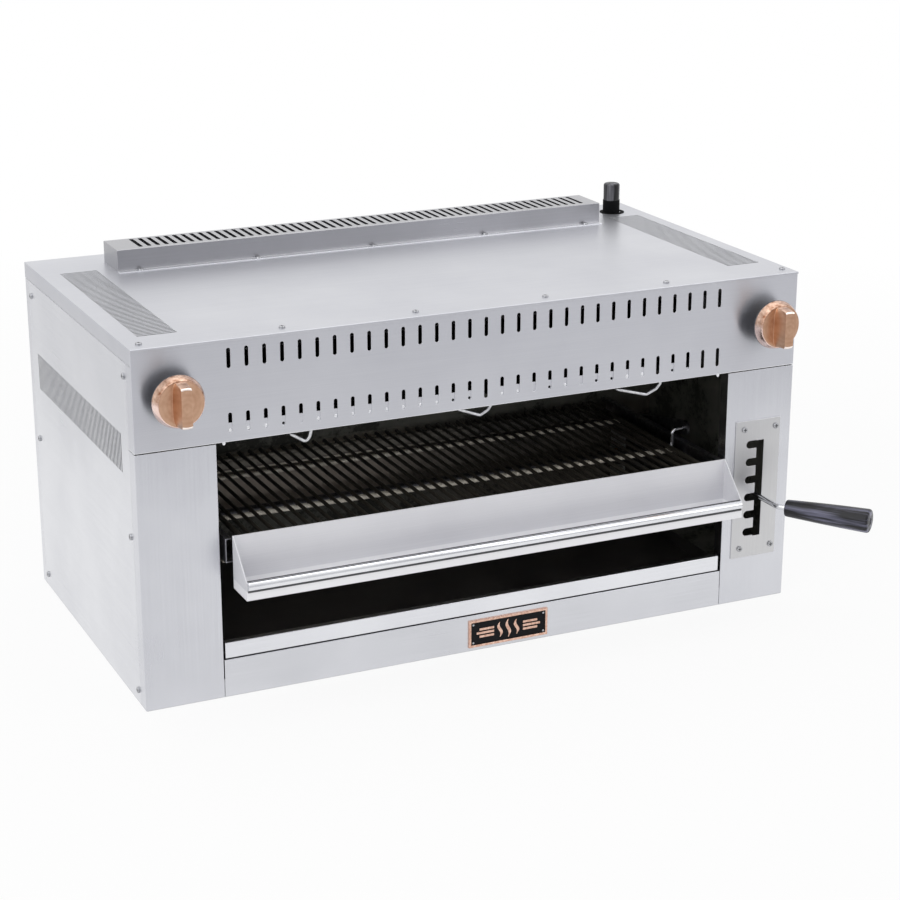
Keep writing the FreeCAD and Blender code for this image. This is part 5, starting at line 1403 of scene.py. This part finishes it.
@dataclass
class Studio:
    """Floor, lamps, surroundings and camera."""

    camera_at: Point = (-1.13617, -2.57868, 1.13918)
    azimuth: float = -24.92029
    elevation: float = 18.42582
    roll: float = 0.04778
    focal_px: float = 2169.388
    frame_px: float = 900.0
    sensor: float = 36.0
    floor_half: float = 30.0
    floor_share: float = 0.88
    world_light: float = 0.55
    card_fade: tuple[float, float] = (0.5, 1.8)
    cards: tuple[Card, ...] = (
        Card("card_low", "#E3E3E5", "#CACACD", (-4.0, -6.0, 0.002), (6.0, -1.05, 0.002)),
        Card("card_front", "#D6D6D9", "#C0C0C4", (-4.0, -6.0, 0.0), (6.0, -6.0, 4.0)),
        Card("card_left", "#EAEAEB", "#EAEAEB", (-6.0, 0.7, 0.002), (-0.7, 8.0, 0.002)),
    )

    def build(self) -> None:
        """Sets the floor, the light, the surroundings and the camera."""
        scene = bpy.context.scene
        scene.view_settings.view_transform = "Standard"
        self.make_world(scene)
        self.make_floor()
        self.make_cards()
        self.make_lamps(scene)
        self.make_camera(scene)

    def seen_directly(self, tree: bpy.types.NodeTree) -> bpy.types.Node:
        """Tells camera, glossy and transmission rays from the others.

        Args:
            tree: Node tree to add the nodes to.

        Returns:
            A node whose value is one for those rays and zero otherwise.
        """
        ray = put(tree, "ShaderNodeLightPath")
        mirror = put(tree, "ShaderNodeMath", {"operation": "MAXIMUM"},
                     {0: (ray, "Is Camera Ray"), 1: (ray, "Is Glossy Ray")})
        return put(tree, "ShaderNodeMath", {"operation": "MAXIMUM"},
                   {0: mirror, 1: (ray, "Is Transmission Ray")})

    def make_world(self, scene: bpy.types.Scene) -> None:
        """Makes white surroundings that light the object softly.

        Args:
            scene: Scene to set.
        """
        world = bpy.data.worlds.new("studio")
        world.use_nodes = True
        tree = world.node_tree
        tree.nodes.clear()
        seen = self.seen_directly(tree)
        strength = put(tree, "ShaderNodeMapRange", {"To Min": self.world_light, "To Max": 1.0},
                       {"Value": seen})
        sky = put(tree, "ShaderNodeBackground", {"Color": (1, 1, 1, 1)}, {"Strength": strength})
        put(tree, "ShaderNodeOutputWorld", links={"Surface": sky})
        scene.world = world

    def make_floor(self) -> None:
        """Makes a pale floor, white far off, that keeps the shadow of the object."""
        mould = Mould()
        half = self.floor_half / MILLIMETRE
        mould.mesh.faces.new(mould.ring([Vector((-half, -half, 0)), Vector((half, -half, 0)),
                                         Vector((half, half, 0)), Vector((-half, half, 0))]))
        floor = mould.finished("studio_floor")
        paper = bpy.data.materials.new("studio_paper")
        paper.use_nodes = True
        tree = paper.node_tree
        tree.nodes.clear()
        seen = self.seen_directly(tree)
        place = put(tree, "ShaderNodeTexCoord")
        away = put(tree, "ShaderNodeVectorMath", {"operation": "LENGTH"}, {0: (place, "Object")})
        near = put(tree, "ShaderNodeMapRange",
                   {"From Min": 1.0, "From Max": 2.2, "To Min": self.floor_share, "To Max": 1.0},
                   {"Value": (away, "Value")})
        share = put(tree, "ShaderNodeMath", {"operation": "MULTIPLY"}, {0: seen, 1: near})
        plain = put(tree, "ShaderNodeBsdfDiffuse", {"Color": linear("#F7F7F7")})
        white = put(tree, "ShaderNodeEmission", {"Color": (1, 1, 1, 1), "Strength": 1.0})
        mix = put(tree, "ShaderNodeMixShader", {}, {0: share, 1: plain, 2: white})
        put(tree, "ShaderNodeOutputMaterial", links={"Surface": mix})
        floor.data.materials.append(paper)

    def make_cards(self) -> None:
        """Stands grey cards where only reflections see them, darker to the right."""
        for sheet in self.cards:
            mould = Mould()
            mould.mesh.faces.new(mould.ring(sheet.corners()))
            card = mould.finished(sheet.name)
            felt = bpy.data.materials.new(sheet.name)
            felt.use_nodes = True
            tree = felt.node_tree
            tree.nodes.clear()
            place = put(tree, "ShaderNodeTexCoord")
            parts = put(tree, "ShaderNodeSeparateXYZ", links={"Vector": (place, "Object")})
            share = put(tree, "ShaderNodeMapRange",
                        {"From Min": self.card_fade[0], "From Max": self.card_fade[1]},
                        {"Value": (parts, "X")})
            shade = put(tree, "ShaderNodeMix",
                        {"data_type": "RGBA", 6: linear(sheet.left), 7: linear(sheet.right)}, {0: share})
            glow = put(tree, "ShaderNodeEmission", {"Strength": 1.0}, {"Color": (shade, 2)})
            put(tree, "ShaderNodeOutputMaterial", links={"Surface": glow})
            card.data.materials.append(felt)
            card.visible_camera = False
            card.visible_diffuse = False
            card.visible_shadow = False
            card.visible_transmission = False

    def make_lamps(self, scene: bpy.types.Scene) -> None:
        """Hangs three soft boxes round the object.

        Args:
            scene: Scene to add to.
        """
        lamps = (("key_box", (-3.2, -1.6, 3.0), 3.6, 46.0), ("top_box", (0.2, 0.4, 3.4), 3.6, 36.0),
                 ("fill_box", (2.8, -3.0, 2.2), 3.0, 24.0))
        for name, place, size, power in lamps:
            data = bpy.data.lights.new(name, "AREA")
            data.shape = "SQUARE"
            data.size = size
            data.energy = power
            lamp = bpy.data.objects.new(name, data)
            lamp.location = place
            aim = Vector((0, 0, 0.2)) - Vector(place)
            lamp.rotation_euler = aim.to_track_quat("-Z", "Y").to_euler()
            scene.collection.objects.link(lamp)

    def make_camera(self, scene: bpy.types.Scene) -> None:
        """Sets the camera from the fit to the corners of the cabinet.

        Args:
            scene: Scene to add to.
        """
        data = bpy.data.cameras.new("camera")
        data.sensor_width = self.sensor
        data.sensor_fit = "HORIZONTAL"
        data.lens = self.focal_px / self.frame_px * self.sensor
        data.clip_start = 0.05
        data.clip_end = 200.0
        a, e, r = (math.radians(v) for v in (self.azimuth, self.elevation, self.roll))
        ahead = Vector((-math.sin(a) * math.cos(e), math.cos(a) * math.cos(e), -math.sin(e)))
        level = ahead.cross(Vector((0, 0, 1))).normalized()
        above = level.cross(ahead)
        right = level * math.cos(r) + above * math.sin(r)
        up = above * math.cos(r) - level * math.sin(r)
        camera = bpy.data.objects.new("camera", data)
        turn = Matrix((right, up, -ahead)).transposed().to_4x4()
        camera.matrix_world = Matrix.Translation(Vector(self.camera_at)) @ turn
        scene.collection.objects.link(camera)
        scene.camera = camera


def main() -> None:
    """Builds the studio and every sub-assembly in order."""
    logging.basicConfig(level=logging.INFO, format="%(name)s: %(message)s")
    Studio().build()
    LOG.info("studio ready")
    builders: Sequence[Callable[[], None]] = (
        Casing().build,
        CombPlate().build,
        Badge().build,
        CookingSpace().build,
        GasTrain().build,
        ControlKnob("left", -407.5, Body.LEFT_CONTROL).build,
        ControlKnob("right", 412.0, Body.RIGHT_CONTROL).build,
        Lever().build,
        LiftGear().build,
        Rack().build,
        CrumbTray().build,
    )
    for build in builders:
        build()


if __name__ == "__main__":
    main()
